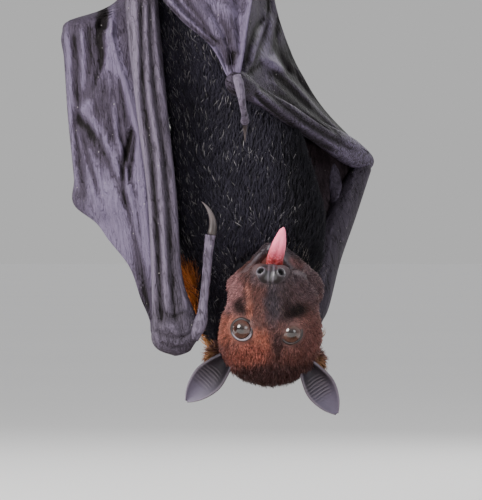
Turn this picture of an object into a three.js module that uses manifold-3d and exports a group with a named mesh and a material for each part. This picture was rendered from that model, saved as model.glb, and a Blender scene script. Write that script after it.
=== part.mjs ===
// Large flying fox hanging from a short perch, life size, with a plain display stand.
// Millimetres, +Z up. The belly faces -Y, and the animal's own right side is at +X.
// The origin is the middle of the underside of the base.
import * as THREE from 'three';
import { mergeVertices } from 'three/addons/utils/BufferGeometryUtils.js';
import Module from 'manifold-3d';

const wasm = await Module();
wasm.setup();

// ---------------------------------------------------------------- driving dimensions
const GAP = 0.35;                 // parting gap between neighbouring pieces

const BASE_WIDTH = 324;
const BASE_DEPTH = 230;
const BASE_HEIGHT = 14;
const ROD_RADIUS = 4.5;
const ROD_X = 144;                // each rod stands this far from the middle
const PERCH_LENGTH = 312;
const PERCH_RADIUS = 12.5;
const PERCH_Z = 447;

const HEAD_AT = [12, -30, 120];   // middle of the head at the level of the eyes
const HEAD_PITCH = 45;            // degrees that the muzzle rises above level
const HEAD_ROLL = 4;              // degrees that the head leans to its right side
const EYE_RADIUS = 6.3;
const EYE_SPREAD = 13.1;          // from the middle of the face to each eye
const EAR_LENGTH = 27;
const EAR_HALF_WIDTH = 8.2;

const FOREARM_LEFT = { elbow: [-92, -2, 277], wrist: [-38, -42, 110] };
const FOREARM_RIGHT = { elbow: [68.5, 84, 210], wrist: [-5, -80, 250] };

const HIP_SPREAD = 15;            // hips on each side of the rump's middle
const RUMP = [-23, 9, 313];
const ANKLE_SPREAD = 20;
const ANKLE_Z = 430;
const THIGH_LENGTH = 60;
const SHIN_LENGTH = 87;
const TOES = 5;

// ---------------------------------------------------------------- small maths
const vec = (p) => new THREE.Vector3(...p);
const radians = THREE.MathUtils.degToRad;
const lerp = THREE.MathUtils.lerp;
const between = (a, b, t) => vec(a).lerp(vec(b), t);
const bump = (distance, width) => Math.exp(-((distance / width) ** 2));

// A smooth value through [place, value] pairs; flat outside them.
function profile(pairs) {
  const slope = (i) => {
    const a = pairs[Math.max(i - 1, 0)];
    const b = pairs[Math.min(i + 1, pairs.length - 1)];
    return (b[1] - a[1]) / (b[0] - a[0]);
  };
  return (place) => {
    if (place <= pairs[0][0]) return pairs[0][1];
    const i = pairs.findIndex((pair) => pair[0] >= place);
    if (i < 0) return pairs.at(-1)[1];
    const step = pairs[i][0] - pairs[i - 1][0];
    const t = (place - pairs[i - 1][0]) / step;
    const start = (1 + 2 * t) * (1 - t) ** 2 * pairs[i - 1][1] + t * t * (3 - 2 * t) * pairs[i][1];
    return start + step * (t * (1 - t) ** 2 * slope(i - 1) - t * t * (1 - t) * slope(i));
  };
}

// ---------------------------------------------------------------- closed meshes
function closedMesh(points, faces) {
  let volume = 0;
  for (const [a, b, c] of faces) {
    volume += points[a].dot(points[b].clone().cross(points[c]));
  }
  const geometry = new THREE.BufferGeometry();
  const flat = points.flatMap((point) => [point.x, point.y, point.z]);
  geometry.setAttribute('position', new THREE.Float32BufferAttribute(flat, 3));
  geometry.setIndex(faces.flatMap(([a, b, c]) => (volume > 0 ? [a, b, c] : [a, c, b])));
  return geometry;
}

// Rings of equal count joined into a tube, with a fan over each end.
function ringSolid(rings) {
  const count = rings[0].length;
  const points = rings.flat();
  const faces = [];
  for (let r = 0; r + 1 < rings.length; r += 1) {
    for (let k = 0; k < count; k += 1) {
      const next = (k + 1) % count;
      const [a, b] = [r * count + k, r * count + next];
      faces.push([a, b, b + count], [a, b + count, a + count]);
    }
  }
  for (const [ring, turn] of [[0, 1], [rings.length - 1, -1]]) {
    const middle = new THREE.Vector3();
    rings[ring].forEach((point) => middle.addScaledVector(point, 1 / count));
    const hub = points.push(middle) - 1;
    for (let k = 0; k < count; k += 1) {
      const [a, b] = [ring * count + k, ring * count + (k + 1) % count];
      faces.push(turn > 0 ? [hub, b, a] : [hub, a, b]);
    }
  }
  return closedMesh(points, faces);
}

// A body along a smooth path. Each station is { at, wide, deep }: half sizes across `side`
// and across the third direction. `grow` fattens it, to cut a parting gap in a neighbour.
function loft(stations, { side = [1, 0, 0], around = 20, along = 14, grow = 0 } = {}) {
  const path = new THREE.CatmullRomCurve3(stations.map((s) => vec(s.at)));
  const last = stations.length - 1;
  const wide = profile(stations.map((s, i) => [i / last, s.wide]));
  const deep = profile(stations.map((s, i) => [i / last, s.deep]));
  const rings = [];
  for (let i = 0; i <= along; i += 1) {
    const t = i / along;
    const middle = path.getPoint(t);
    const ahead = path.getTangent(t);
    if (i === 0) middle.addScaledVector(ahead, -grow);
    if (i === along) middle.addScaledVector(ahead, grow);
    const third = new THREE.Vector3().crossVectors(ahead, vec(side)).normalize();
    const across = new THREE.Vector3().crossVectors(third, ahead).normalize();
    const ring = [];
    for (let k = 0; k < around; k += 1) {
      const angle = (2 * Math.PI * k) / around;
      ring.push(middle.clone()
        .addScaledVector(across, (wide(t) + grow) * Math.cos(angle))
        .addScaledVector(third, (deep(t) + grow) * Math.sin(angle)));
    }
    rings.push(ring);
  }
  return ringSolid(rings);
}

// A leaf of even thickness on a surface given as surface(u, v) with u and v from 0 to 1.
function sheet(surface, thickness, stepsU, stepsV) {
  const points = [];
  const small = 1e-3;
  for (const sign of [1, -1]) {
    for (let i = 0; i <= stepsU; i += 1) {
      for (let j = 0; j <= stepsV; j += 1) {
        const [u, v] = [i / stepsU, j / stepsV];
        const du = surface(Math.min(u + small, 1), v).sub(surface(Math.max(u - small, 0), v));
        const dv = surface(u, Math.min(v + small, 1)).sub(surface(u, Math.max(v - small, 0)));
        const normal = du.cross(dv).normalize();
        points.push(surface(u, v).addScaledVector(normal, (sign * thickness) / 2));
      }
    }
  }
  const row = stepsV + 1;
  const back = row * (stepsU + 1);
  const at = (i, j) => i * row + j;
  const faces = [];
  const quad = (a, b, c, d) => faces.push([a, b, c], [a, c, d]);
  for (let i = 0; i < stepsU; i += 1) {
    for (let j = 0; j < stepsV; j += 1) {
      const [a, b, c, d] = [at(i, j), at(i + 1, j), at(i + 1, j + 1), at(i, j + 1)];
      quad(a, b, c, d);
      quad(back + a, back + d, back + c, back + b);
    }
  }
  for (let i = 0; i < stepsU; i += 1) {
    quad(at(i + 1, 0), at(i, 0), back + at(i, 0), back + at(i + 1, 0));
    quad(at(i, stepsV), at(i + 1, stepsV), back + at(i + 1, stepsV), back + at(i, stepsV));
  }
  for (let j = 0; j < stepsV; j += 1) {
    quad(at(0, j), at(0, j + 1), back + at(0, j + 1), back + at(0, j));
    quad(at(stepsU, j + 1), at(stepsU, j), back + at(stepsU, j), back + at(stepsU, j + 1));
  }
  return closedMesh(points, faces);
}

// ---------------------------------------------------------------- joining and cutting
function toManifold(geometry) {
  const bare = geometry.clone();
  bare.deleteAttribute('normal');
  bare.deleteAttribute('uv');
  const merged = mergeVertices(bare, 1e-4);
  return new wasm.Manifold(new wasm.Mesh({
    numProp: 3,
    vertProperties: new Float32Array(merged.attributes.position.array),
    triVerts: new Uint32Array(merged.index.array),
  }));
}

function fromManifold(solid) {
  const mesh = solid.getMesh();
  const geometry = new THREE.BufferGeometry();
  geometry.setAttribute('position', new THREE.BufferAttribute(mesh.vertProperties, 3));
  geometry.setIndex(new THREE.BufferAttribute(mesh.triVerts, 1));
  return geometry;
}

const combine = (how) => (first, ...others) => fromManifold(
  others.map(toManifold).reduce((solid, other) => solid[how](other), toManifold(first)),
);
const cut = combine('subtract');
const join = combine('add');
const turned = (geometry, matrix) => geometry.clone().applyMatrix4(matrix);

// ---------------------------------------------------------------- the head's own frame
// Head shapes are made with x to the side, y along the muzzle and z out of the forehead.
const headFrame = new THREE.Matrix4()
  .makeTranslation(vec(HEAD_AT))
  .multiply(new THREE.Matrix4().makeRotationY(radians(HEAD_ROLL)))
  .multiply(new THREE.Matrix4().makeBasis(
    vec([1, 0, 0]),
    vec([0, -Math.cos(radians(HEAD_PITCH)), Math.sin(radians(HEAD_PITCH))]),
    vec([0, -Math.sin(radians(HEAD_PITCH)), -Math.cos(radians(HEAD_PITCH))]),
  ));
const onHead = (geometry) => turned(geometry, headFrame);

// Stations along y: [y, half width, half height, middle height, middle aside].
const alongHead = (rows) => rows.map(([y, wide, deep, z, x = 0]) => ({ at: [x, y, z], wide, deep }));

function headSolid(grow = 0) {
  const stations = alongHead([
    [-42, 5, 5, -3.5, 2], [-39, 15, 13, -3.2, 2], [-31, 25.5, 18.5, -2.6, 2],
    [-18, 29, 21.2, -2, 2], [-6, 29, 20.8, -2, 2.4], [4, 26.5, 18.8, -2.6, 2.6],
    [13, 20.5, 14.8, -3.6, 2], [22, 15, 11.8, -4.2, 1], [31, 11.6, 9, -4.2, 0.3],
    [37, 8.2, 6, -4, 0],
  ]);
  return loft(stations, { around: 16, along: 10, grow });
}

function jawSolid(grow = 0) {
  const stations = alongHead([
    [-4, 22, 6.6, -19, 3], [4, 27, 9.4, -19.6, 3.2], [13, 25.4, 9.4, -21, 2.8],
    [22, 19.2, 8.4, -23, 1.8], [29, 12.2, 6.8, -25.2, 0.8], [33.5, 6.4, 3.8, -26, 0.2],
    [35.5, 2, 1.4, -26, 0],
  ]);
  return loft(stations, { around: 12, along: 6, grow });
}

function tongueSolid(grow = 0) {
  const stations = [
    { at: [15.2, -37, 148], wide: 4, deep: 2.2 },
    { at: [16.2, -43, 155], wide: 4.6, deep: 2.6 },
    { at: [18.2, -48, 162.5], wide: 4, deep: 2.2 },
    { at: [20, -51.5, 169.5], wide: 2.2, deep: 1.3 },
    { at: [20.8, -52.6, 172.2], wide: 0.6, deep: 0.5 },
  ];
  return loft(stations, { around: 8, along: 6, grow });
}

function eyeSolid(side, grow = 0) {
  const ball = new THREE.SphereGeometry(EYE_RADIUS + grow, 12, 7);
  return onHead(ball.translate(side * EYE_SPREAD, 4, 9.5));
}

// The nose pad carries two short tubes that point up and apart.
function noseSolid(grow = 0) {
  const pad = loft(
    alongHead([[31, 5, 3.6, -1.6], [35, 8, 6, -2.2], [38, 7.6, 5.4, -2.6], [40, 4, 3, -2.8]]),
    { around: 8, along: 3, grow },
  );
  const tubes = [-1, 1].map((side) => loft([
    { at: [side * 3, 34, -0.5], wide: 3.4, deep: 3.4 },
    { at: [side * 4.6, 38.5, -0.3], wide: 3.4, deep: 3.2 },
    { at: [side * 6, 41.2, 0], wide: 2.8, deep: 2.6 },
  ], { around: 6, along: 2, grow }));
  return onHead(join(pad, ...tubes));
}

// A pointed cup, open to the front: the edges come forward of the middle.
function earSolid(side) {
  const root = side < 0 ? [-14.2, -15, 96] : [36.6, -15, 92];
  const tip = side < 0 ? [-31.8, -8, 77.4] : [49.2, -8, 72];
  const axis = vec(tip).sub(vec(root)).setLength(EAR_LENGTH);
  const across = new THREE.Vector3().crossVectors(axis, vec([0, 1, 0])).normalize();
  const forward = new THREE.Vector3().crossVectors(axis, across).normalize();
  forward.multiplyScalar(-Math.sign(forward.y));
  const halfWidth = profile([[0, 6.6], [0.3, EAR_HALF_WIDTH], [0.6, 6.9], [0.85, 3.9], [1, 0.9]]);
  const cup = profile([[0, 5], [0.4, 4], [1, 0.6]]);
  return sheet((u, v) => {
    const q = 2 * v - 1;
    return vec(root)
      .addScaledVector(axis, u)
      .addScaledVector(across, halfWidth(u) * q)
      .addScaledVector(forward, cup(u) * (q * q - 0.5));
  }, 1.3, 7, 4);
}

// ---------------------------------------------------------------- neck and trunk
const NECK = [
  { at: [11, 9, 86], wide: 19, deep: 13 },
  { at: [11, 7, 96], wide: 30, deep: 22 },
  { at: [11, 5, 108], wide: 33, deep: 27 },
  { at: [9, 4, 122], wide: 35, deep: 30 },
  { at: [7, 3, 136], wide: 39, deep: 33 },
  { at: [5, 2, 150], wide: 42, deep: 36 },
];
const CHEST = [
  { at: [5, 2, 150], wide: 42, deep: 36 },
  { at: [3, 1, 175], wide: 43, deep: 37 },
  { at: [-2, 2, 205], wide: 40, deep: 35 },
  { at: [-9, 4, 235], wide: 35.5, deep: 31 },
];
const BELLY = [
  { at: [-9, 4, 235], wide: 35.5, deep: 31 },
  { at: [-15, 5, 265], wide: 34, deep: 29.5 },
  { at: [-20, 6, 295], wide: 31, deep: 28 },
  { at: [-23, 8, 318], wide: 24, deep: 23 },
  { at: [-24, 9, 331], wide: 9, deep: 9 },
];
// The furred left shoulder fills the place between the neck and the folded wing.
const SHOULDER = [
  { at: [-24, 16, 110], wide: 4, deep: 4 },
  { at: [-27, 16, 120], wide: 11, deep: 9.5 },
  { at: [-28.5, 15, 136], wide: 14.5, deep: 12 },
  { at: [-27, 14, 152], wide: 11, deep: 10 },
  { at: [-25, 14, 161], wide: 4, deep: 4 },
];
const neckSolid = (grow = 0) => join(
  loft(NECK, { around: 14, along: 5, grow }),
  loft(SHOULDER, { around: 8, along: 4, grow }),
);
const chestSolid = (grow = 0) => loft(CHEST, { around: 14, along: 4, grow });
const bellySolid = (grow = 0) => loft(BELLY, { around: 14, along: 5, grow });

// ---------------------------------------------------------------- left wing, folded
// Every level z of the folded arm is a rounded triangle: front inner, outer and back inner.
const LEFT_OUTER_X = profile([
  [106, -42], [114, -51], [121, -52], [133, -57], [152, -64.5], [166, -76], [175, -83],
  [183, -94], [199, -95.5], [234, -99], [266, -101], [279, -102], [286, -98], [291, -82],
  [320, -76], [360, -67], [412, -54],
]);
const LEFT_OUTER_Y = profile([[106, -42], [150, -26], [185, -8], [288, -4], [340, 2], [412, 14]]);
const LEFT_INNER_X = profile([[106, -38], [125, -41], [160, -44], [288, -58], [412, -50]]);
const LEFT_FRONT_Y = profile([[106, -44], [125, -39], [200, -34], [288, -24], [350, -2], [412, 12]]);
const LEFT_BACK_X = profile([[106, -40], [140, -42], [240, -42], [288, -52], [350, -58], [412, -51]]);
const LEFT_BACK_Y = profile([[106, -40], [140, -14], [185, 16], [240, 24], [300, 21], [412, 18]]);
const LEFT_LEVELS = [
  107, 113, 120, 133, 147, 162, 175, 183, 190, 210, 235, 262, 279, 287, 293, 315, 350, 385, 412,
];

function leftArmSolid() {
  const { elbow, wrist } = FOREARM_LEFT;
  const rings = [];
  for (const z of LEFT_LEVELS) {
    const outer = new THREE.Vector3(LEFT_OUTER_X(z), LEFT_OUTER_Y(z), z);
    const front = new THREE.Vector3(LEFT_INNER_X(z), LEFT_FRONT_Y(z), z);
    const back = new THREE.Vector3(LEFT_BACK_X(z), LEFT_BACK_Y(z), z);
    const size = outer.distanceTo(front);
    const armX = lerp(wrist[0], elbow[0], (z - wrist[2]) / (elbow[2] - wrist[2]));
    const ring = [];
    const side = (from, to, count, swell, pleat) => {
      for (let k = 0; k < count; k += 1) {
        const t = k / count;
        const point = from.clone().lerp(to, t);
        point.y += swell * Math.sin(Math.PI * t);
        point.y -= pleat * (bump(point.x - armX, 7) + 0.4 * Math.sin(9 * Math.PI * t));
        ring.push(point);
      }
    };
    side(front, outer, 8, -0.08 * size, Math.min(3.2, 0.06 * size));
    side(outer, back, 5, 0.1 * size, 0);
    side(back, front, 3, 0, 0);
    rings.push(ring);
  }
  return ringSolid(rings);
}

// The long finger bones lie side by side in front of the forearm.
const LEFT_HAND = [
  { at: [-34, -45, 104.5], wide: 5, deep: 4 },
  { at: [-36.5, -47, 112], wide: 13.6, deep: 7.5 },
  { at: [-38.5, -48, 123], wide: 12, deep: 7.5 },
  { at: [-42.3, -47, 145], wide: 8.5, deep: 7 },
  { at: [-45, -45.5, 190], wide: 8, deep: 6.5 },
  { at: [-50.5, -43, 236], wide: 8.5, deep: 6.5 },
  { at: [-56.5, -34, 292], wide: 8, deep: 6 },
  { at: [-58, -20, 330], wide: 6, deep: 5.5 },
  { at: [-53, 0, 378], wide: 4.2, deep: 4 },
  { at: [-50, 8, 412], wide: 2.4, deep: 2.4 },
];
const leftHandSolid = (grow = 0) => loft(LEFT_HAND, { around: 10, along: 15, grow });

// ---------------------------------------------------------------- right wing, held forward
// The arm's skin hangs as a cloak from the forearm up to the ankle. Along u it goes from the
// wrist round the flank to the elbow and in to the back, and along v from the arm to the ankle.
const CLOAK_EDGE = [
  [-1, -76, 251], [12, -45, 242.5], [34, 0, 233], [52, 40, 222.5], [68, 80, 213],
  [45, 72, 216], [12, 48, 222],
];
const CLOAK_TOP = [
  [3, -9, 412], [4, -6, 412], [6, -2, 412], [7, 4, 412], [7, 10, 412], [4, 16, 412], [0, 20, 412],
];
const CLOAK_DRAPE = profile([[0, 1.15], [0.25, 2.6], [0.65, 3.9], [1, 3.4]]);
const cloakEdge = new THREE.CatmullRomCurve3(CLOAK_EDGE.map(vec), false, 'centripetal');
const cloakTop = new THREE.CatmullRomCurve3(CLOAK_TOP.map(vec), false, 'centripetal');

function cloakPoint(u, v) {
  const low = cloakEdge.getPoint(u);
  const high = cloakTop.getPoint(u);
  const gather = 1 - (1 - v) ** CLOAK_DRAPE(u);
  const pleat = 1.6 * Math.sin(11 * Math.PI * u) * Math.sin(Math.PI * Math.min(1, v * 1.15));
  const outward = new THREE.Vector3(0.9, 0.4, 0).multiplyScalar(pleat);
  return new THREE.Vector3(
    lerp(low.x, high.x, gather),
    lerp(low.y, high.y, gather),
    lerp(low.z, high.z, v),
  ).add(outward);
}
const cloakSolid = () => sheet(cloakPoint, 2.4, 14, 7);

// The hand's fan, from the wrist up over the belly, with its finger bones as ridges.
const FAN_INNER = [
  [-9, -79, 252], [-17.5, -77, 268], [-34, -71, 283], [-46, -64, 297], [-54, -52, 315],
  [-47, -42, 338], [-32, -30, 366], [-18, -17, 394], [-13, -9, 412],
];
const FAN_OUTER = [
  [-3, -80, 252], [0, -78, 268], [2, -75, 283], [4.5, -71, 297], [10, -64, 322],
  [13, -54, 346], [7, -40, 370], [-4, -22, 394], [-7, -12, 412],
];
const fanInner = new THREE.CatmullRomCurve3(FAN_INNER.map(vec), false, 'centripetal');
const fanOuter = new THREE.CatmullRomCurve3(FAN_OUTER.map(vec), false, 'centripetal');
const fanSolid = () => sheet((u, v) => {
  const point = fanInner.getPoint(v).lerp(fanOuter.getPoint(v), u);
  const open = Math.sin(Math.PI * Math.min(1, v + 0.06));
  point.y -= (2.2 * Math.cos(6 * Math.PI * u) + 4 * Math.sin(Math.PI * u)) * open;
  return point;
}, 2.2, 9, 8);

const rightForearm = (grow = 0) => {
  const { elbow, wrist } = FOREARM_RIGHT;
  const at = (t) => between(wrist, elbow, t).toArray();
  const stations = [
    { at: at(-0.03), wide: 3, deep: 3 }, { at: at(0), wide: 6, deep: 6.5 },
    { at: at(0.06), wide: 6, deep: 6.5 }, { at: at(0.2), wide: 4.4, deep: 5 },
    { at: at(0.6), wide: 5, deep: 6.5 }, { at: at(0.85), wide: 6, deep: 8 },
    { at: at(0.99), wide: 5, deep: 5.5 }, { at: at(1.02), wide: 2.5, deep: 2.5 },
  ];
  return loft(stations, { side: [1, -0.4, 0], around: 8, along: 11, grow });
};
const rightUpperArm = (grow = 0) => loft([
  { at: [45, 20, 120], wide: 4, deep: 6 }, { at: [46, 24, 131], wide: 7, deep: 11 },
  { at: [50, 42, 158], wide: 7.5, deep: 12 }, { at: [57, 60, 182], wide: 7, deep: 10 },
  { at: [66.5, 80, 207], wide: 5, deep: 6.5 },
], { side: [1, -0.3, 0], around: 10, along: 7, grow });

// The skin between the upper arm and the side of the back.
const ARM_EDGE = [[48, 34, 140], [52, 50, 162], [59, 65, 184], [64, 75, 203], [66, 77, 215]];
const BACK_EDGE = [[36, 26, 150], [33, 30, 170], [24, 35, 195], [12, 39, 217], [9, 38, 227]];
const armEdge = new THREE.CatmullRomCurve3(ARM_EDGE.map(vec));
const backEdge = new THREE.CatmullRomCurve3(BACK_EDGE.map(vec));
const flankSkinSolid = () => sheet((u, v) => {
  const point = armEdge.getPoint(v).lerp(backEdge.getPoint(v), u);
  point.y += 4 * Math.sin(Math.PI * u) + 1.2 * Math.sin(5 * Math.PI * u);
  return point;
}, 1.8, 6, 5);

// ---------------------------------------------------------------- thumbs
const THUMBS = {
  left: {
    shaft: [
      { at: [-28, -51, 112], wide: 3, deep: 3 }, { at: [-24, -53, 121], wide: 3.6, deep: 3.2 },
      { at: [-22.6, -53, 130], wide: 2.5, deep: 2.5 }, { at: [-20.9, -53, 146], wide: 2.4, deep: 2.4 },
      { at: [-19.8, -53, 160], wide: 2.6, deep: 2.6 }, { at: [-18.6, -53, 168], wide: 3, deep: 3 },
    ],
    claw: [
      { at: [-18.3, -53, 168.6], wide: 2.4, deep: 2.6 }, { at: [-14.6, -53.4, 175], wide: 2, deep: 2.4 },
      { at: [-13.4, -53.8, 181], wide: 1.4, deep: 1.7 }, { at: [-15.6, -54, 186], wide: 0.9, deep: 1.1 },
      { at: [-19.2, -54, 187.8], wide: 0.3, deep: 0.4 },
    ],
  },
  right: {
    shaft: [
      { at: [-4.5, -86, 253], wide: 2.6, deep: 2.6 }, { at: [-3, -88.5, 247], wide: 3, deep: 3 },
      { at: [-1.6, -87, 239], wide: 2.2, deep: 2.2 }, { at: [-0.3, -78, 232.5], wide: 2.2, deep: 2.2 },
      { at: [0, -67, 230], wide: 2.3, deep: 2.3 }, { at: [0, -60, 229.5], wide: 2.8, deep: 2.8 },
    ],
    claw: [
      { at: [0, -59.4, 229.4], wide: 2.3, deep: 2.4 }, { at: [-0.2, -53, 231], wide: 1.9, deep: 2.2 },
      { at: [-0.5, -47, 230.4], wide: 1.4, deep: 1.7 }, { at: [-0.8, -42.6, 227], wide: 0.9, deep: 1.1 },
      { at: [-1, -41.4, 223], wide: 0.3, deep: 0.4 },
    ],
  },
};
const thumbShaft = (name, grow = 0) => loft(THUMBS[name].shaft, { around: 8, along: 7, grow });
const thumbClaw = (name, grow = 0) => loft(THUMBS[name].claw, { around: 6, along: 6, grow });

// ---------------------------------------------------------------- legs and feet
// The knee lies where a thigh and a shin of their real lengths meet, outward and to the back.
function legPoints(side) {
  const hip = vec([RUMP[0] + side * HIP_SPREAD, RUMP[1], RUMP[2]]);
  const ankle = vec([RUMP[0] - 3 + side * ANKLE_SPREAD, 18, ANKLE_Z]);
  const reach = hip.distanceTo(ankle);
  const along = (THIGH_LENGTH ** 2 - SHIN_LENGTH ** 2 + reach ** 2) / (2 * reach);
  const aside = Math.sqrt(THIGH_LENGTH ** 2 - along ** 2);
  const bend = vec([0.62 * side, 0.78, 0]).multiplyScalar(aside);
  const knee = hip.clone().lerp(ankle, along / reach).add(bend);
  return { hip, knee, ankle };
}
const thighSolid = (side, grow = 0) => {
  const { hip, knee } = legPoints(side);
  const at = (t) => hip.clone().lerp(knee, t).toArray();
  return loft([
    { at: at(0), wide: 11, deep: 12 }, { at: at(0.35), wide: 11, deep: 12 },
    { at: at(0.7), wide: 8, deep: 9 }, { at: at(1), wide: 6, deep: 6.5 },
    { at: at(1.07), wide: 2.5, deep: 2.5 },
  ], { around: 10, along: 6, grow });
};
const shinSolid = (side, grow = 0) => {
  const { knee, ankle } = legPoints(side);
  const at = (t) => knee.clone().lerp(ankle, t).toArray();
  return loft([
    { at: at(-0.05), wide: 3, deep: 3 }, { at: at(0.02), wide: 6, deep: 6 },
    { at: at(0.3), wide: 5, deep: 5.5 }, { at: at(0.75), wide: 3.4, deep: 3.6 },
    { at: at(0.97), wide: 4, deep: 4 },
  ], { around: 8, along: 7, grow });
};

// Toes go up behind the perch and over its top; `ahead` is how far round they have gone.
const overPerch = (x, ahead, height) => [
  x,
  (PERCH_RADIUS + height) * Math.cos(ahead),
  PERCH_Z + (PERCH_RADIUS + height) * Math.sin(ahead),
];
const toeX = (side, toe) => RUMP[0] - 3 + side * ANKLE_SPREAD + 5.2 * (toe - (TOES - 1) / 2);
const toeSolid = (side, toe) => {
  const root = RUMP[0] - 3 + side * ANKLE_SPREAD;
  const x = (t) => lerp(root, toeX(side, toe), t);
  return loft([
    { at: overPerch(x(0.5), radians(-35), 4), wide: 3, deep: 2.4 },
    { at: overPerch(x(0.8), radians(5), 3.6), wide: 2.6, deep: 2.4 },
    { at: overPerch(x(1), radians(48), 3.2), wide: 2.2, deep: 2.2 },
    { at: overPerch(x(1.05), radians(88), 3.3), wide: 2.3, deep: 2.2 },
    { at: overPerch(x(1.05), radians(104), 3.4), wide: 1.8, deep: 1.8 },
  ], { around: 5, along: 3 });
};
const toeClaw = (side, toe) => {
  const x = lerp(RUMP[0] - 3 + side * ANKLE_SPREAD, toeX(side, toe), 1.06);
  return loft([
    { at: overPerch(x, radians(107), 3.6), wide: 1.2, deep: 1.6 },
    { at: overPerch(x, radians(128), 4.4), wide: 1.1, deep: 1.5 },
    { at: overPerch(x, radians(150), 3.4), wide: 0.8, deep: 1.1 },
    { at: overPerch(x, radians(168), 1.6), wide: 0.35, deep: 0.45 },
  ], { around: 5, along: 4 });
};
function footSolid(side) {
  const { ankle } = legPoints(side);
  const x = ankle.x;
  const sole = loft([
    { at: [x, 18.5, ANKLE_Z - 1], wide: 4, deep: 3.6 },
    { at: [x, 18.6, ANKLE_Z + 5], wide: 6, deep: 3.4 },
    { at: overPerch(x, radians(-20), 4.2), wide: 9, deep: 3 },
    { at: overPerch(x, radians(2), 4), wide: 10.5, deep: 2.6 },
  ], { around: 8, along: 3 });
  const toes = Array.from({ length: TOES }, (_, toe) => toeSolid(side, toe));
  return join(sole, ...toes);
}

// ---------------------------------------------------------------- perch and stand
// A cut length of branch: not quite round, with two stubs where twigs were.
function perchRing(x, grow = 0, around = 14) {
  const ring = [];
  for (let k = 0; k < around; k += 1) {
    const angle = (2 * Math.PI * k) / around;
    const wave = 0.5 * Math.sin(2 * angle + x / 30) + 0.4 * Math.sin(3 * angle - x / 50);
    const radius = PERCH_RADIUS - 0.9 + wave + grow;
    ring.push(new THREE.Vector3(x, radius * Math.cos(angle), PERCH_Z + radius * Math.sin(angle)));
  }
  return ring;
}
function perchSolid(grow = 0) {
  const half = PERCH_LENGTH / 2 + grow;
  const steps = 5;
  const rings = [];
  for (let i = 0; i <= steps; i += 1) rings.push(perchRing(lerp(-half, half, i / steps), grow));
  return ringSolid(rings);
}
const perchWithStubs = () => join(
  perchSolid(),
  loft([
    { at: [78, -4, PERCH_Z + 6], wide: 5.5, deep: 5.5 },
    { at: [83, -7, PERCH_Z + 20], wide: 4.4, deep: 4.4 },
  ], { around: 6, along: 2 }),
  loft([
    { at: [-96, 4, PERCH_Z + 4], wide: 4.6, deep: 4.6 },
    { at: [-100, 9, PERCH_Z + 18], wide: 3.4, deep: 3.4 },
  ], { around: 6, along: 2 }),
);

function baseSolid() {
  const corner = 16;
  const [w, d] = [BASE_WIDTH / 2, BASE_DEPTH / 2];
  const outline = new THREE.Shape();
  outline.moveTo(-w + corner, -d);
  outline.lineTo(w - corner, -d);
  outline.absarc(w - corner, -d + corner, corner, -Math.PI / 2, 0);
  outline.lineTo(w, d - corner);
  outline.absarc(w - corner, d - corner, corner, 0, Math.PI / 2);
  outline.lineTo(-w + corner, d);
  outline.absarc(-w + corner, d - corner, corner, Math.PI / 2, Math.PI);
  outline.lineTo(-w, -d + corner);
  outline.absarc(-w + corner, -d + corner, corner, Math.PI, 1.5 * Math.PI);
  return new THREE.ExtrudeGeometry(outline, {
    depth: BASE_HEIGHT, bevelEnabled: false, curveSegments: 5,
  });
}

function rodSolid(side) {
  const length = PERCH_Z - BASE_HEIGHT - GAP;
  const rod = new THREE.CylinderGeometry(ROD_RADIUS, ROD_RADIUS, length, 12);
  rod.rotateX(Math.PI / 2).translate(side * ROD_X, 0, BASE_HEIGHT + GAP + length / 2);
  return cut(rod, perchSolid(GAP));
}

// ---------------------------------------------------------------- the whole
const looks = {
  dark_fur: { color: 0x17120f, roughness: 0.95, metalness: 0 },
  face_fur: { color: 0x6b3318, roughness: 0.9, metalness: 0 },
  mantle_fur: { color: 0x9c4a17, roughness: 0.9, metalness: 0 },
  wing_skin: { color: 0x3d363b, roughness: 0.6, metalness: 0 },
  bare_skin: { color: 0x2b2523, roughness: 0.5, metalness: 0 },
  ear_skin: { color: 0x5a4c4c, roughness: 0.7, metalness: 0 },
  tongue_skin: { color: 0xd88a84, roughness: 0.35, metalness: 0 },
  eye: { color: 0x2a140a, roughness: 0.08, metalness: 0 },
  claw: { color: 0x1c1817, roughness: 0.35, metalness: 0 },
  bark: { color: 0x6a5a4a, roughness: 0.95, metalness: 0 },
  base_wood: { color: 0x4a3020, roughness: 0.4, metalness: 0 },
  rod_metal: { color: 0x8c8c8a, roughness: 0.3, metalness: 1 },
};

const bat = new THREE.Group();
bat.name = 'flying_fox_on_stand';

function add(name, geometry, look) {
  const mesh = new THREE.Mesh(geometry, new THREE.MeshStandardMaterial(looks[look]));
  mesh.name = name;
  bat.add(mesh);
}

const eyeHollows = [-1, 1].map((side) => eyeSolid(side, GAP));
add('head', cut(onHead(headSolid()), onHead(jawSolid(GAP)), tongueSolid(GAP), noseSolid(GAP),
  ...eyeHollows), 'face_fur');
add('jaw', cut(onHead(jawSolid()), tongueSolid(GAP)), 'face_fur');
add('tongue', tongueSolid(), 'tongue_skin');
add('nose', noseSolid(), 'bare_skin');
for (const [name, side] of [['left', -1], ['right', 1]]) {
  add(`eye_${name}`, eyeSolid(side), 'eye');
  add(`ear_${name}`, cut(earSolid(side), onHead(headSolid(GAP))), 'ear_skin');
}

const headZone = [onHead(headSolid(GAP)), onHead(jawSolid(GAP))];
add('neck', cut(neckSolid(), ...headZone, chestSolid(GAP)), 'mantle_fur');
add('chest', cut(chestSolid(), ...headZone), 'dark_fur');
add('belly', cut(bellySolid(), chestSolid(GAP)), 'dark_fur');

const trunkZone = [neckSolid(GAP), chestSolid(GAP), bellySolid(GAP)];
const thighs = { left: thighSolid(-1, GAP), right: thighSolid(1, GAP) };
const shins = { left: shinSolid(-1, GAP), right: shinSolid(1, GAP) };

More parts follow.
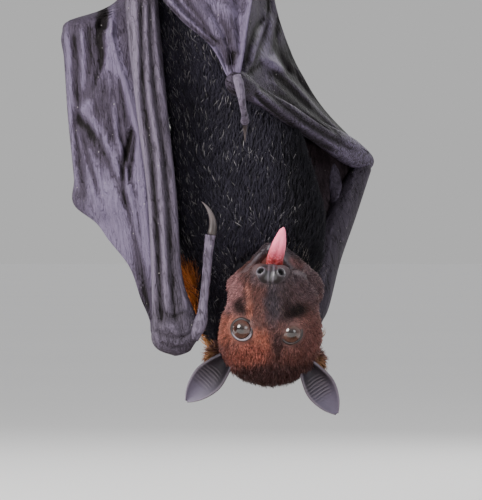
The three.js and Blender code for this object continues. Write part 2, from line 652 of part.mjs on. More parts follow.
add('wing_left_hand', cut(leftHandSolid(), shins.left, thumbShaft('left', GAP)), 'wing_skin');
add('wing_left_arm', cut(leftArmSolid(), leftHandSolid(GAP), ...trunkZone, thighs.left), 'wing_skin');
add('wing_right_forearm', cut(rightForearm(), ...trunkZone, thumbShaft('right', GAP)), 'wing_skin');
add('wing_right_upper_arm', cut(rightUpperArm(), ...trunkZone, rightForearm(GAP)), 'wing_skin');
add('wing_right_cloak', cut(cloakSolid(), rightForearm(GAP), rightUpperArm(GAP), ...trunkZone,
  thighs.right, shins.right), 'wing_skin');
add('wing_right_fan', cut(fanSolid(), rightForearm(GAP)), 'wing_skin');
add('wing_right_flank', cut(flankSkinSolid(), rightForearm(GAP), rightUpperArm(GAP), ...trunkZone),
  'wing_skin');

for (const [name, side] of [['left', -1], ['right', 1]]) {
  add(`thumb_${name}`, cut(thumbShaft(name), thumbClaw(name, GAP)), 'bare_skin');
  add(`thumb_claw_${name}`, thumbClaw(name), 'claw');
  add(`thigh_${name}`, cut(thighSolid(side), bellySolid(GAP)), 'dark_fur');
  add(`shin_${name}`, cut(shinSolid(side), thighs[name]), 'wing_skin');
  add(`foot_${name}`, cut(footSolid(side), shins[name], perchSolid(GAP)), 'bare_skin');
  for (let toe = 0; toe < TOES; toe += 1) {
    add(`toe_claw_${name}_${toe + 1}`, cut(toeClaw(side, toe), perchSolid(GAP)), 'claw');
  }
}

add('perch_branch', perchWithStubs(), 'bark');
add('stand_base', baseSolid(), 'base_wood');
add('stand_rod_left', rodSolid(-1), 'rod_metal');
add('stand_rod_right', rodSolid(1), 'rod_metal');

export default bat;
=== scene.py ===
# %% [markdown]
# # A flying fox hanging from its perch
# This lesson builds the looks of a life-size museum model: a large fruit bat that hangs head
# down, one wing folded and the other held forward. The construction model is loaded first and
# stays as it is. One skin then replaces its flesh, fur goes over the skin as small solid tufts,
# and the stand gets its finishes.

# %% Load the frame
import math

import bmesh
import bpy
import numpy as np
from mathutils import Matrix, Vector


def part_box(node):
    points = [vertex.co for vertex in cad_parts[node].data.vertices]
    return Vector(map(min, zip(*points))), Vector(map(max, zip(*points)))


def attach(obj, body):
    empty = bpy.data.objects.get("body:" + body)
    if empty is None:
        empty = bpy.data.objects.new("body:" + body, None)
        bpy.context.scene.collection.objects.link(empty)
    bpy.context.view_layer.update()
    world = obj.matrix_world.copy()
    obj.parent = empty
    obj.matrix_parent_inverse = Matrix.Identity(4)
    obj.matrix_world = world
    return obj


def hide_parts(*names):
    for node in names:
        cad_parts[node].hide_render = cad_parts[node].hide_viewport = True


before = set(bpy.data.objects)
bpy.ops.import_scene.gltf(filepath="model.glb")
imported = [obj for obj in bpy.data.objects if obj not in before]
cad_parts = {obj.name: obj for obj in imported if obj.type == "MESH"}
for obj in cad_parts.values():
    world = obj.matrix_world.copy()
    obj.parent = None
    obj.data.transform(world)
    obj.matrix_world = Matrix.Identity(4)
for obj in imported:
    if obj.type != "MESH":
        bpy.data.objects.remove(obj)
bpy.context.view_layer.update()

# %% [markdown]
# ## Working in millimetres
# Blender's own unit is the metre, which makes a bat a list of tiny numbers. The shapes are
# worked out in millimetres and scaled once, when each mesh is made.

# %% Units and places
MM = 0.001
CHANCE = np.random.default_rng(7)


def centre_of(node):
    """The middle of a construction node, in millimetres."""
    low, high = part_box(node)
    return (np.array(low) + np.array(high)) / 2 / MM


perch_low, perch_high = (np.array(corner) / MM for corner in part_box("perch_branch"))
PERCH_Z = 447.0
PERCH_RADIUS = 12.5
print("perch from", perch_low.round(), "to", perch_high.round())

# %% [markdown]
# ## Smooth values and smooth lines
# Two small tools draw every body part. A profile is a smooth number along a line, such as how
# wide the neck is at each height. A line is a smooth path through a few points in space.

# %% Profiles, lines and waves


def profile(*pairs):
    """A smooth value through (place, value) pairs, flat outside them."""
    place, value = np.array(pairs, float).T
    slope = np.gradient(value, place)

    def at(x):
        x = np.clip(x, place[0], place[-1])
        i = np.clip(np.searchsorted(place, x) - 1, 0, len(place) - 2)
        step = place[i + 1] - place[i]
        t = (x - place[i]) / step
        ends = (1 + 2 * t) * (1 - t) ** 2 * value[i] + t * t * (3 - 2 * t) * value[i + 1]
        return ends + step * (t * (1 - t) ** 2 * slope[i] - t * t * (1 - t) * slope[i + 1])

    return at


def line(points):
    """A smooth path through points; it takes places from 0 to 1 and returns points."""
    points = np.array(points, float)
    reach = np.r_[0, np.cumsum(np.linalg.norm(np.diff(points, axis=0), axis=1))]
    parts = [profile(*zip(reach / reach[-1], column)) for column in points.T]
    return lambda t: np.stack([part(np.asarray(t, float)) for part in parts], axis=-1)


def unit(vectors):
    vectors = np.asarray(vectors, float)
    return vectors / np.maximum(np.linalg.norm(vectors, axis=-1, keepdims=True), 1e-9)


def smooth_step(low, high, x):
    t = np.clip((np.asarray(x, float) - low) / (high - low), 0, 1)
    return t * t * (3 - 2 * t)


def ripple(points, size, seed=0):
    """Cheap smooth noise from -1 to 1: a few crossed waves, the same on every run."""
    chance = np.random.default_rng(seed)
    total = np.zeros(len(points))
    for octave in range(5):
        way = unit(chance.normal(size=3)) * (2 * math.pi / size) * (1 + 0.55 * octave)
        total += np.sin(points @ way + chance.uniform(0, 2 * math.pi)) / (1 + 0.5 * octave)
    return total / 2.2


PATH_PIECES = 28


def near_path(points, path):
    """Distance from points to a smooth path, the share along it and, on a flat one, the side."""
    spots = line(path)(np.linspace(0, 1, PATH_PIECES + 1))
    gap, share, side = np.full(len(points), 1e9), np.zeros(len(points)), np.zeros(len(points))
    for k in range(PATH_PIECES):
        run = spots[k + 1] - spots[k]
        off = points - spots[k]
        t = np.clip(off @ run / (run @ run), 0, 1)
        off = off - t[:, None] * run
        length = np.linalg.norm(off, axis=1)
        closer = length < gap
        gap[closer] = length[closer]
        share[closer] = (k + t[closer]) / PATH_PIECES
        if points.shape[1] == 2:
            side[closer] = np.sign(run[0] * off[closer, 1] - run[1] * off[closer, 0])
    return gap, share, side


# %% [markdown]
# ## Two ways to make a closed body
# A loft stacks rings along a path, as a boat builder sets frames along a keel. A leaf is a thin
# skin with two faces and an edge, made from a surface given by two numbers. Limbs and the trunk
# are lofts, and wing skin and ears are leaves.

# %% Lofts and leaves


def circle(around):
    """Angles evenly round a circle."""
    return np.linspace(0, 2 * math.pi, around, endpoint=False)


def tube_faces(rings, around):
    """Quads round a stack of rings, with a fan over each end."""
    faces = []
    for ring in range(rings - 1):
        for k in range(around):
            a, b = ring * around + k, ring * around + (k + 1) % around
            faces.append((a, b, b + around, a + around))
    for ring, hub in ((0, rings * around), (rings - 1, rings * around + 1)):
        for k in range(around):
            a, b = ring * around + k, ring * around + (k + 1) % around
            faces.append((hub, b, a) if ring == 0 else (hub, a, b))
    return faces


def close_rings(rings):
    """Vertices and faces of a tube from an array of rings, shaped (rings, around, 3)."""
    count, around = rings.shape[:2]
    hubs = rings[[0, -1]].mean(axis=1)
    return np.vstack([rings.reshape(-1, 3), hubs]), tube_faces(count, around)


def loft(stations, side=(1, 0, 0), around=24, along=24, thinner=0.0):
    """A body along a path. Each station is (x, y, z, half width, half depth)."""
    stations = np.array(stations, float)
    t = np.linspace(0, 1, along + 1)
    steps = np.linspace(0, 1, len(stations))
    path = [profile(*zip(steps, stations[:, k])) for k in range(5)]
    middle = np.stack([path[k](t) for k in range(3)], axis=1)
    wide = np.maximum(path[3](t) - thinner, 0.25)
    deep = np.maximum(path[4](t) - thinner, 0.25)
    ahead = unit(np.gradient(middle, axis=0))
    third = unit(np.cross(ahead, side))
    across = unit(np.cross(third, ahead))
    angle = circle(around)[None, :, None]
    rings = (middle[:, None] + wide[:, None, None] * np.cos(angle) * across[:, None]
             + deep[:, None, None] * np.sin(angle) * third[:, None])
    return close_rings(rings)


def leaf_grid(steps_u, steps_v):
    """Even shares along and across a leaf, as two arrays."""
    return np.meshgrid(np.linspace(0, 1, steps_u + 1), np.linspace(0, 1, steps_v + 1), indexing="ij")


def leaf(surface, thickness, steps_u, steps_v):
    """A thin closed body on surface(u, v), which takes and returns arrays."""
    u, v = leaf_grid(steps_u, steps_v)
    middle = surface(u, v)
    normal = unit(np.cross(np.gradient(middle, axis=0), np.gradient(middle, axis=1)))
    thick = thickness(u, v)[..., None] if callable(thickness) else thickness
    points = np.concatenate([(middle + normal * thick / 2).reshape(-1, 3),
                             (middle - normal * thick / 2).reshape(-1, 3)])
    row, back = steps_v + 1, (steps_u + 1) * (steps_v + 1)
    faces = []
    for i in range(steps_u):
        for j in range(steps_v):
            a, b, c, d = i * row + j, (i + 1) * row + j, (i + 1) * row + j + 1, i * row + j + 1
            faces += [(a, b, c, d), (back + a, back + d, back + c, back + b)]
    rim = [i * row for i in range(steps_u + 1)]
    rim += [steps_u * row + j for j in range(1, steps_v + 1)]
    rim += [i * row + steps_v for i in range(steps_u - 1, -1, -1)]
    rim += [j for j in range(steps_v - 1, 0, -1)]
    for a, b in zip(rim, rim[1:] + rim[:1]):
        faces.append((b, a, back + a, back + b))
    return points, faces


# %% [markdown]
# ## From numbers to a mesh
# Every piece ends as an ordinary mesh object whose place is in its vertices and whose object
# sits at the origin. The outside of each closed body is found by its volume, and turned outward
# if it came out inside out.

# %% Mesh pieces


def mesh_piece(name, points, faces):
    mesh = bpy.data.meshes.new(name)
    mesh.from_pydata((np.asarray(points) * MM).tolist(), [], faces)
    built = bmesh.new()
    built.from_mesh(mesh)
    if built.calc_volume(signed=True) < 0:
        bmesh.ops.reverse_faces(built, faces=built.faces)
    built.to_mesh(mesh)
    built.free()
    mesh.shade_smooth()
    piece = bpy.data.objects.new(name, mesh)
    bpy.context.collection.objects.link(piece)
    return piece


def choose(*pieces):
    """Deselects everything, then selects the pieces and makes the first one active."""
    bpy.ops.object.select_all(action="DESELECT")
    for piece in pieces:
        piece.select_set(True)
    bpy.context.view_layer.objects.active = pieces[0]


def join(name, *pieces):
    choose(*pieces)
    if len(pieces) > 1:
        bpy.ops.object.join()
    pieces[0].name = name
    pieces[0].data.name = name
    return pieces[0]


def apply_modifier(piece, kind, **settings):
    choose(piece)
    modifier = piece.modifiers.new(kind.title(), kind)
    for key, value in settings.items():
        setattr(modifier, key, value)
    bpy.ops.object.modifier_apply(modifier=modifier.name)


def points_of(piece):
    """A piece's vertices in millimetres."""
    flat = np.empty(3 * len(piece.data.vertices))
    piece.data.vertices.foreach_get("co", flat)
    return flat.reshape(-1, 3) / MM


def normals_of(piece):
    flat = np.empty(3 * len(piece.data.vertices))
    piece.data.vertices.foreach_get("normal", flat)
    return flat.reshape(-1, 3)


def move_points(piece, points):
    piece.data.vertices.foreach_set("co", (np.asarray(points) * MM).ravel())
    piece.data.update()


def triangles(piece):
    return sum(len(face.vertices) - 2 for face in piece.data.polygons)


def number_on_points(piece, name, values):
    layer = piece.data.attributes.new(name, "FLOAT", "POINT")
    layer.data.foreach_set("value", np.asarray(values, np.float32))


def colour_on_points(piece, name, colours):
    layer = piece.data.attributes.new(name, "FLOAT_COLOR", "POINT")
    rgba = np.c_[colours, np.ones(len(colours))]
    layer.data.foreach_set("color", rgba.astype(np.float32).ravel())


# %% [markdown]
# ## The head's own frame
# A head is easiest to model level and facing ahead. Its shapes are made with x to the side, y
# along the muzzle and z out of the forehead, then turned and set in place together. Hanging
# head down, the bat lifts its muzzle, so the forehead is at the bottom.

# %% The head's frame
HEAD_AT = np.array([12.0, -30.0, 120.0])
HEAD_PITCH = math.radians(45)
HEAD_ROLL = math.radians(4)
level = np.array([
    [1, 0, 0],
    [0, -math.cos(HEAD_PITCH), math.sin(HEAD_PITCH)],
    [0, -math.sin(HEAD_PITCH), -math.cos(HEAD_PITCH)],
])
lean = np.array(Matrix.Rotation(HEAD_ROLL, 3, "Y"))
HEAD_AXES = level @ lean.T


def on_head(points):
    """From the head's frame to the model's."""
    return HEAD_AT + np.asarray(points, float) @ HEAD_AXES


def in_head(points):
    """From the model's frame to the head's."""
    return (np.asarray(points, float) - HEAD_AT) @ HEAD_AXES.T


EYE_RADIUS = 6.3
EYE_AT = {"left": np.array([-13.1, 4.0, 9.5]), "right": np.array([13.1, 4.0, 9.5])}
for name, place in EYE_AT.items():
    gap = np.linalg.norm(on_head(place) - centre_of(f"eye_{name}"))
    print(name, "eye is", round(gap, 2), "mm from its construction node")

# %% [markdown]
# ## The trunk and the thighs
# The furred trunk is one smooth barrel from the neck to the rump. The construction solids give
# the tips of the coat, so the skin is the same barrel made thinner by the coat's depth. The
# barrel and the two thighs are separate lofts, which a voxel remesh melts into one skin, as
# clay is pressed together. Smoothing then takes the seams away.

# %% Trunk and thighs
TRUNK = [
    (11, 12, 92, 14, 10), (11, 10, 100, 25, 18), (11, 8, 108, 32, 24), (9, 9, 122, 33, 25),
    (7, 9, 136, 36, 27), (5, 7, 150, 40, 31), (3, 3, 175, 43, 36), (-2, 2, 205, 40, 35),
    (-9, 4, 235, 35.5, 31), (-15, 5, 265, 34, 29.5), (-20, 6, 295, 31, 28),
    (-23, 8, 318, 24, 23), (-24, 9, 331, 9, 9),
]
COAT_DEPTH = 4.0
THIGH_COAT = 2.5
RUMP = np.array([-23.0, 9.0, 313.0])
HIP_SPREAD = 15.0
ANKLE_SPREAD = 20.0
ANKLE_Z = 430.0
THIGH_LENGTH = 60.0
SHIN_LENGTH = 87.0
SIDES = {"left": -1, "right": 1}


def leg_points(side):
    """Hip, knee and ankle: the knee lies where a thigh and a shin of real length meet."""
    hip = RUMP + (side * HIP_SPREAD, 0, 0)
    ankle = np.array([RUMP[0] - 3 + side * ANKLE_SPREAD, 18.0, ANKLE_Z])
    reach = np.linalg.norm(ankle - hip)
    along = (THIGH_LENGTH ** 2 - SHIN_LENGTH ** 2 + reach ** 2) / (2 * reach)
    aside = math.sqrt(THIGH_LENGTH ** 2 - along ** 2)
    knee = hip + (ankle - hip) * along / reach + np.array([0.62 * side, 0.78, 0]) * aside
    return hip, knee, ankle


def limb(start, end, *rows):
    """Stations on a straight bone, from rows of (share of its length, half width, half depth)."""
    return [(*(start + (end - start) * share), wide, deep) for share, wide, deep in rows]


SHOULDER = [(-24, 16, 110, 4, 4), (-27, 16, 120, 11, 9.5), (-28.5, 15, 136, 14.5, 12),
            (-27, 14, 152, 11, 10), (-25, 14, 161, 4, 4)]
shells = [mesh_piece("trunk", *loft(TRUNK, around=72, along=90, thinner=COAT_DEPTH)),
          mesh_piece("shoulder", *loft(SHOULDER, around=40, along=30, thinner=COAT_DEPTH - 1))]
for name, side in SIDES.items():
    hip, knee, ankle = leg_points(side)
    thigh = limb(hip, knee, (0, 11, 12), (0.35, 11, 12), (0.7, 8, 9), (1, 6, 6.5), (1.07, 2.5, 2.5))
    shells.append(mesh_piece(f"thigh_{name}", *loft(thigh, around=32, along=24, thinner=THIGH_COAT)))
trunk = join("trunk_skin", *shells)
apply_modifier(trunk, "REMESH", mode="VOXEL", voxel_size=3.2 * MM)
apply_modifier(trunk, "SMOOTH", factor=0.5, iterations=6)
lumps = 0.9 * ripple(points_of(trunk) * (1, 1, 0.6), 26, seed=3)
move_points(trunk, points_of(trunk) + normals_of(trunk) * lumps[:, None])
print("trunk skin:", triangles(trunk), "triangles")

# %% [markdown]
# ## The head
# A flying fox has a fox-like face: a long narrow muzzle, wide cheeks and large eyes that look
# ahead. The skull, the lower jaw, the lips and the rims round the eyes are lofts, rings and
# balls in the head's frame, and a mound behind each ear carries its fur. They are melted
# together at a finer voxel. The crown is then sunk a little, to leave room for its longer fur.

# %% Head shells
SKULL = [
    (-42, 5, 5, -3.5, 2), (-39, 15, 13, -3.2, 2), (-31, 25.5, 18.5, -2.6, 2),
    (-18, 29, 21.2, -2, 2), (-6, 29, 20.8, -2, 2.4), (4, 26.5, 18.8, -2.6, 2.6),
    (13, 20.5, 14.8, -3.6, 2), (22, 15, 11.8, -4.2, 1), (31, 11.6, 9, -4.2, 0.3),
    (37, 8.2, 6, -4, 0),
]
JAW = [
    (-4, 22, 6.6, -19, 3), (4, 27, 9.4, -19.6, 3.2), (13, 25.4, 9.4, -21, 2.8),
    (22, 17.0, 8.2, -23, 1.8), (29, 10.0, 6.6, -25.2, 0.8), (33.5, 5.6, 3.8, -26, 0.2),
    (35.5, 2, 1.4, -26, 0),
]
GAZE = {"left": unit([-0.13, 0.64, 0.74]), "right": unit([0.13, 0.64, 0.74])}


def on_muzzle_line(rows, thinner):
    """Stations along the head's own y, from rows of (y, half width, half height, height, aside)."""
    return [(x, y, z, wide - thinner, deep - thinner) for y, wide, deep, z, x in rows]


def ball(centre, radii):
    """Vertices and faces of an egg shape."""
    rise = np.linspace(0.04, math.pi - 0.04, 17)[:, None]
    angle = circle(24)
    rings = np.stack(np.broadcast_arrays(
        np.sin(rise) * np.cos(angle), np.sin(rise) * np.sin(angle), np.cos(rise)), axis=-1)
    return close_rings(np.array(centre) + rings * np.array(radii))


def ring_round(centre, way, major, minor):
    """Vertices and faces of a ring that faces `way`."""
    one = unit(np.cross(way, (0.0, 0.0, 1.0)))
    two = np.cross(way, one)
    turn, spin = circle(40)[:, None, None], circle(12)[None, :, None]
    out = np.cos(turn) * one + np.sin(turn) * two
    points = np.array(centre) + out * (major + minor * np.cos(spin)) + way * minor * np.sin(spin)
    return points.reshape(-1, 3), wrap_faces(40, 12)


def wrap_faces(around, section):
    """Quads of a ring of rings, closed both ways."""
    faces = []
    for i in range(around):
        here, there = i * section, (i + 1) % around * section
        for k in range(section):
            after = (k + 1) % section
            faces.append((here + k, here + after, there + after, there + k))
    return faces


def head_piece(name, shape):
    points, faces = shape
    return mesh_piece(name, on_head(points), faces)


FACE_COAT = 0.8
shells = [
    head_piece("skull", loft(on_muzzle_line(SKULL, FACE_COAT), around=64, along=60)),
    head_piece("jaw", loft(on_muzzle_line(JAW, FACE_COAT), around=48, along=40)),
]
for name, side in SIDES.items():
    eye, gaze = EYE_AT[name], GAZE[name]
    shells += [
        head_piece("orbit", ring_round(eye + gaze * 0.6, gaze, 6.9, 2.0)),
        head_piece("lip_pad", ball((side * 6.0, 28.0, -6.8), (6.0, 10.0, 5.6))),
        head_piece("brow", ball((side * 12.0, -6.5, 13.4), (8.5, 7.0, 4.6))),
        head_piece("cheek", ball((side * 16.0 + 2.5, 1.0, -11.0), (9.0, 20.0, 9.0))),
        head_piece("jowl", ball((side * 12.5 + 1.5, 20.0, -12.5), (6.6, 9.0, 5.4))),
    ]
shells.append(head_piece("mouth_corner", ball((19.0, 22.0, -19.5), (2.2, 6.0, 3.0))))
for place in ((-15.0, -3.0, 102.0), (37.5, -3.0, 99.5)):
    shells.append(mesh_piece("ear_base", *ball(place, (7.5, 6.5, 7.5))))
head = join("head_skin", *shells)
apply_modifier(head, "REMESH", mode="VOXEL", voxel_size=1.05 * MM)
apply_modifier(head, "SMOOTH", factor=0.5, iterations=7)
CROWN_COAT = 2.9
sink = (CROWN_COAT - FACE_COAT) * smooth_step(16, -16, in_head(points_of(head))[:, 1])
move_points(head, points_of(head) - normals_of(head) * sink[:, None])
print("head skin:", triangles(head), "triangles")

# %% [markdown]
# ## Sculpting the face
# Each fold of the face is a place, a width and a depth. The points near it move along their own
# normals, which is what a sculpting brush does. The mouth is a hollow pressed into the lower
# jaw, so that the lips stand round it as a rim.

# %% Face folds
place = in_head(points_of(head))
facing = normals_of(head) @ HEAD_AXES.T
x, y, z = place.T
mirrored = np.c_[np.abs(x - 1.5 * smooth_step(30, 18, y)), y, z]
MOUTH_WIDTH = profile((13, 17.5), (18, 16.4), (22, 13.4), (27, 8.6), (31, 5.1), (33.4, 1.4))
mouth = smooth_step(0.2, -1.6, mirrored[:, 0] - MOUTH_WIDTH(y)) * smooth_step(14, 19, y)
mouth = mouth * smooth_step(34.2, 32.6, y) * (z < -13.5) * (z > -27) * smooth_step(0.1, 0.5, facing[:, 2])
lip_rim = np.exp(-((mirrored[:, 0] - MOUTH_WIDTH(y) - 0.6) / 1.1) ** 2) * (z < -12) * (z > -27)
lip_rim = lip_rim * smooth_step(15, 20, y) * smooth_step(-0.1, 0.4, facing[:, 2])

MOUTH_CORNER = [(15.5, 24, -18.0), (19.5, 16, -16.6), (24.0, 7, -14.4)]
TEAR_CORNER = (11.0, 12.6, 7.0)
FACE_FOLDS = [
    (-1.0, 1.3, MOUTH_CORNER),
    (0.9, 1.9, [(14.6, 24, -15.0), (19.0, 16, -13.4), (23.0, 8, -11.6)]),
    (-0.9, 1.4, [(9.6, 12, 7.8), (8.4, 18, 5.6), (8.6, 25, 3.0)]),
    (-0.6, 1.3, [(9.8, 27, -1.0), (13.5, 22, -5.0), (17.5, 14, -6.5)]),
    (0.8, 1.8, [(6.0, 11, 11.5), (4.6, 17, 9.0), (3.6, 24, 6.4)]),
    (-0.5, 1.1, [(0, 12, 12.4), (0, 20, 9.0), (0, 28, 5.4)]),
    (-0.8, 1.4, [(0.4, -12, 20.5), (0.4, -2, 19.0), (0.4, 7, 15.6)]),
    (0.9, 2.2, [(3.6, -9, 20.6), (4.4, -1, 18.6), (6.4, 6, 15.0)]),
    (-0.7, 1.5, [(22.6, 6, 4.0), (24.4, -1, 7.0), (24.2, -8, 9.0)]),
]
press = -3.4 * mouth + 0.5 * lip_rim
press -= 2.6 * np.exp(-(np.linalg.norm((mirrored - TEAR_CORNER) * (0.8, 1, 1), axis=1) / 3.6) ** 2)
for height, width, path in FACE_FOLDS:
    gap, share, _ = near_path(mirrored, path)
    press += height * np.exp(-((gap / width) ** 2)) * np.sin(math.pi * np.clip(share, 0.08, 0.92))
press += 0.28 * ripple(place, 6.5, seed=5) * (1 - mouth) * smooth_step(34, 26, y)
move_points(head, points_of(head) + normals_of(head) * press[:, None])
number_on_points(head, "mouth", mouth)
number_on_points(head, "lip", lip_rim)
print("deepest press into the face:", round(-press.min(), 1), "mm")

# %% [markdown]
# ## The nose
# The nose is a bare moist pad with two short tubes for nostrils that point up and apart. The
# pad and the tubes are melted together finely. Each nostril is then bored with a ball, as a
# potter would press a thumb in.

# %% Nose pad and nostrils
PAD = [(30, 5, 3.6, -1.6, 0), (35, 8, 6, -2.2, 0), (38, 7.6, 5.4, -2.6, 0), (40, 4, 3, -2.8, 0)]
shells = [head_piece("pad", loft(on_muzzle_line(PAD, 0.4), around=40, along=24))]
for side in SIDES.values():
    tube = [(side * 2.4, 33, -0.5, 3.0, 3.0), (side * 4.4, 37.6, -0.3, 3.2, 3.0),
            (side * 5.6, 40.4, 0.0, 2.9, 2.7), (side * 5.9, 41.0, 0.1, 2.0, 1.8)]
    shells.append(head_piece("tube", loft(tube, around=28, along=16)))
nose = join("nose_skin", *shells)
apply_modifier(nose, "REMESH", mode="VOXEL", voxel_size=0.48 * MM)
apply_modifier(nose, "SMOOTH", factor=0.5, iterations=5)
place = in_head(points_of(nose))
x, y, z = place.T
NOSTRIL = np.array([5.7, 40.6, 0.3])
to_nostril = np.linalg.norm((np.c_[np.abs(x), y, z] - NOSTRIL) * (1, 0.55, 1), axis=1)
hollow = np.exp(-(to_nostril / 1.55) ** 4)
groove = np.exp(-((x / 1.0) ** 2)) * smooth_step(33, 36, y)
inward = unit(np.array([-0.35, -0.9, -0.25]))
bore = hollow[:, None] * 3.3 * inward * np.c_[np.sign(x), np.ones(len(x)), np.ones(len(x))]
place = place + bore + np.array([0, -1.0, -0.3]) * groove[:, None]
move_points(nose, on_head(place))
number_on_points(nose, "hollow", hollow)
# The right nostril's rim is painted fainter as painted shade, and a pale band either side of the middle
# groove is a painted highlight.
rim = np.exp(-((to_nostril - 2.15) / 0.55) ** 2) * np.where(x > 0, 0.45, 1)
number_on_points(nose, "rim", rim + 0.9 * np.exp(-(((np.abs(x) - 1.3) / 0.5) ** 2)))
print("nose:", triangles(nose), "triangles")

# %% [markdown]
# ## The eyelids
# A lid is a soft rim that lies on the eyeball and turns in at its edge. It is a ring whose
# opening is an almond, pointed towards the nose. The section of the ring is a thin wedge that
# runs back under the fur, so no gap shows between ball and face.

# %% Eyelids
LID_SECTION = [  # degrees out from the opening, and height over the eyeball in mm
    (0.5, -0.5), (0.0, 0.12), (0.8, 0.4), (3.0, 0.6), (7, 0.8), (12, 0.8), (18, 0.5),
    (25, -0.1), (32, -1.2), (20, -1.4), (10, -1.0),
]
LID_STEPS = 32


def lid_points(name):
    """A lid's ring of sections round the gaze, in the head's frame."""
    gaze, side = GAZE[name], SIDES[name]
    inner = unit(np.array([-side * 0.62, 0.55, -0.1]))
    one = unit(inner - gaze * (inner @ gaze))
    two = np.cross(gaze, one)
    points = []
    for k in range(LID_STEPS):
        turn = 2 * math.pi * k / LID_STEPS
        to_corner = math.atan2(math.sin(turn), math.cos(turn))
        opening = 57 + 4.0 * math.cos(2 * turn + math.pi) + 13 * math.exp(-(to_corner / 0.32) ** 2)
        out = math.cos(turn) * one + math.sin(turn) * two
        for degrees, height in LID_SECTION:
            angle = math.radians(opening + degrees)
            way = math.cos(angle) * gaze + math.sin(angle) * out
            points.append(EYE_AT[name] + way * (EYE_RADIUS + height))
    return np.array(points)


lids = []
for name in SIDES:
    lid = mesh_piece(f"lid_{name}", on_head(lid_points(name)), wrap_faces(LID_STEPS, len(LID_SECTION)))
    edge = np.tile([1, 1, 1, 0.75, 0.1, 0, 0, 0, 0, 0, 0.5], LID_STEPS)
    below = in_head(points_of(lid)) - EYE_AT[name]
    lower = smooth_step(-3.5, 3.5, -below[:, 1] + 0.7 * below[:, 2] - 2.0)
    # The pale edge is partly the lid's own pale rim and partly a painted highlight; it is kept to the lower
    # side, and the right eye's is painted fainter as painted shade.
    edge = edge * (0.12 + 0.88 * lower) * (1.0 if name == "left" else 0.35)
    number_on_points(lid, "rim", edge)
    apply_modifier(lid, "SUBSURF", levels=1, render_levels=1)
    lids.append(lid)
lids = join("lids", *lids)
print("lids:", triangles(lids), "triangles")

# %% [markdown]
# ## The eyeballs
# The eyeball is a sphere whose pole looks ahead, so each ring of its mesh is a circle round the
# pupil. A number on each point says how far from the gaze it lies, and the finish draws the
# pupil, the iris and the dark outer ring from it. The cornea is a low bulge over the iris.

# %% Eyeballs
LOOK = {"left": unit([-0.24, 0.70, 0.67]), "right": unit([0.08, 0.68, 0.72])}
eyeballs = {}
for name, side in SIDES.items():
    bpy.ops.mesh.primitive_uv_sphere_add(segments=48, ring_count=40, radius=EYE_RADIUS * MM)
    eyeball = bpy.context.object
    eyeball.name = eyeball.data.name = f"eyeball_{name}"
    ways = unit(points_of(eyeball))
    from_gaze = np.degrees(np.arccos(np.clip(ways[:, 2], -1, 1)))
    bulge = 1 + 0.035 * smooth_step(46, 10, from_gaze)
    turn = np.array(Vector(LOOK[name]).to_track_quat("Z", "Y").to_matrix())
    move_points(eyeball, on_head(EYE_AT[name] + (ways * (EYE_RADIUS - 0.05) * bulge[:, None]) @ turn.T))
    number_on_points(eyeball, "from_gaze", from_gaze * {"left": 1.0, "right": 0.93}[name])
    eyeball.data.shade_smooth()
    eyeballs[name] = eyeball
    print(eyeball.name, "looks along", (LOOK[name] @ HEAD_AXES).round(2))

# %% [markdown]
# ## The tongue
# The tongue is licked out over the lip. It is a loft with a shallow channel down its middle,
# which catches the light on both sides as a wet tongue does.

# %% Tongue
TONGUE = [
    (15.0, -35, 146, 3.8, 2.0), (15.6, -39, 150, 4.2, 2.3), (16.2, -43, 155, 4.5, 2.5),
    (18.2, -48, 162.5, 3.9, 2.1), (20, -51.5, 169.5, 2.1, 1.2), (20.8, -52.6, 172.2, 0.5, 0.4),
]
points, faces = loft(TONGUE, around=36, along=48)
tongue = mesh_piece("tongue_flesh", points, faces)
flat = points_of(tongue)
middle = line([row[:3] for row in TONGUE])
gap, share, _ = near_path(flat, [row[:3] for row in TONGUE])
centre = middle(share)
inset = np.exp(-(((flat[:, 0] - centre[:, 0]) / 0.9) ** 2)) * smooth_step(0.98, 0.6, share)
front = smooth_step(0.1, 0.8, -normals_of(tongue)[:, 1])
flat = flat - normals_of(tongue) * (0.65 * inset * front)[:, None]
move_points(tongue, flat + normals_of(tongue) * (0.08 * ripple(flat, 1.6, seed=8))[:, None])
number_on_points(tongue, "share", share)
print("tongue:", triangles(tongue), "triangles")

# %% [markdown]
# ## The ears
# A flying fox's ear is a plain pointed cup of thin bare skin, with no tragus. Inside it a
# row of low ribs crosses the lower half. The cup is a leaf whose edges come forward, and the
# ribs are waves along its length that fade out towards the tip and the edges.

# %% Ears
EAR_LENGTH = 27.0
EARS = {"left": ([-14.2, -15, 96], [-31.8, -8, 77.4]), "right": ([36.6, -15, 92], [49.2, -8, 72])}
EAR_ROOT = 0.24
EAR_HALF_WIDTH = profile(
    (-EAR_ROOT, 4.4), (0, 6.6), (0.3, 8.2), (0.6, 6.9), (0.85, 3.9), (0.96, 1.7), (1, 0.7))
EAR_CUP = profile((0, 5), (0.4, 4), (1, 0.6))


def ear_surface(name):
    root, tip = (np.array(end, float) for end in EARS[name])
    axis = unit(tip - root) * EAR_LENGTH
    across = unit(np.cross(axis, (0, 1, 0)))
    forward = unit(np.cross(axis, across))
    forward *= -np.sign(forward[1])

    def surface(u, v):
        u, q = u * (1 + EAR_ROOT) - EAR_ROOT, 2 * v - 1
        curl = EAR_CUP(u) * (q * q - 0.5)
        return (root + u[..., None] * axis + (EAR_HALF_WIDTH(u) * q)[..., None] * across
                + curl[..., None] * forward)

    return surface


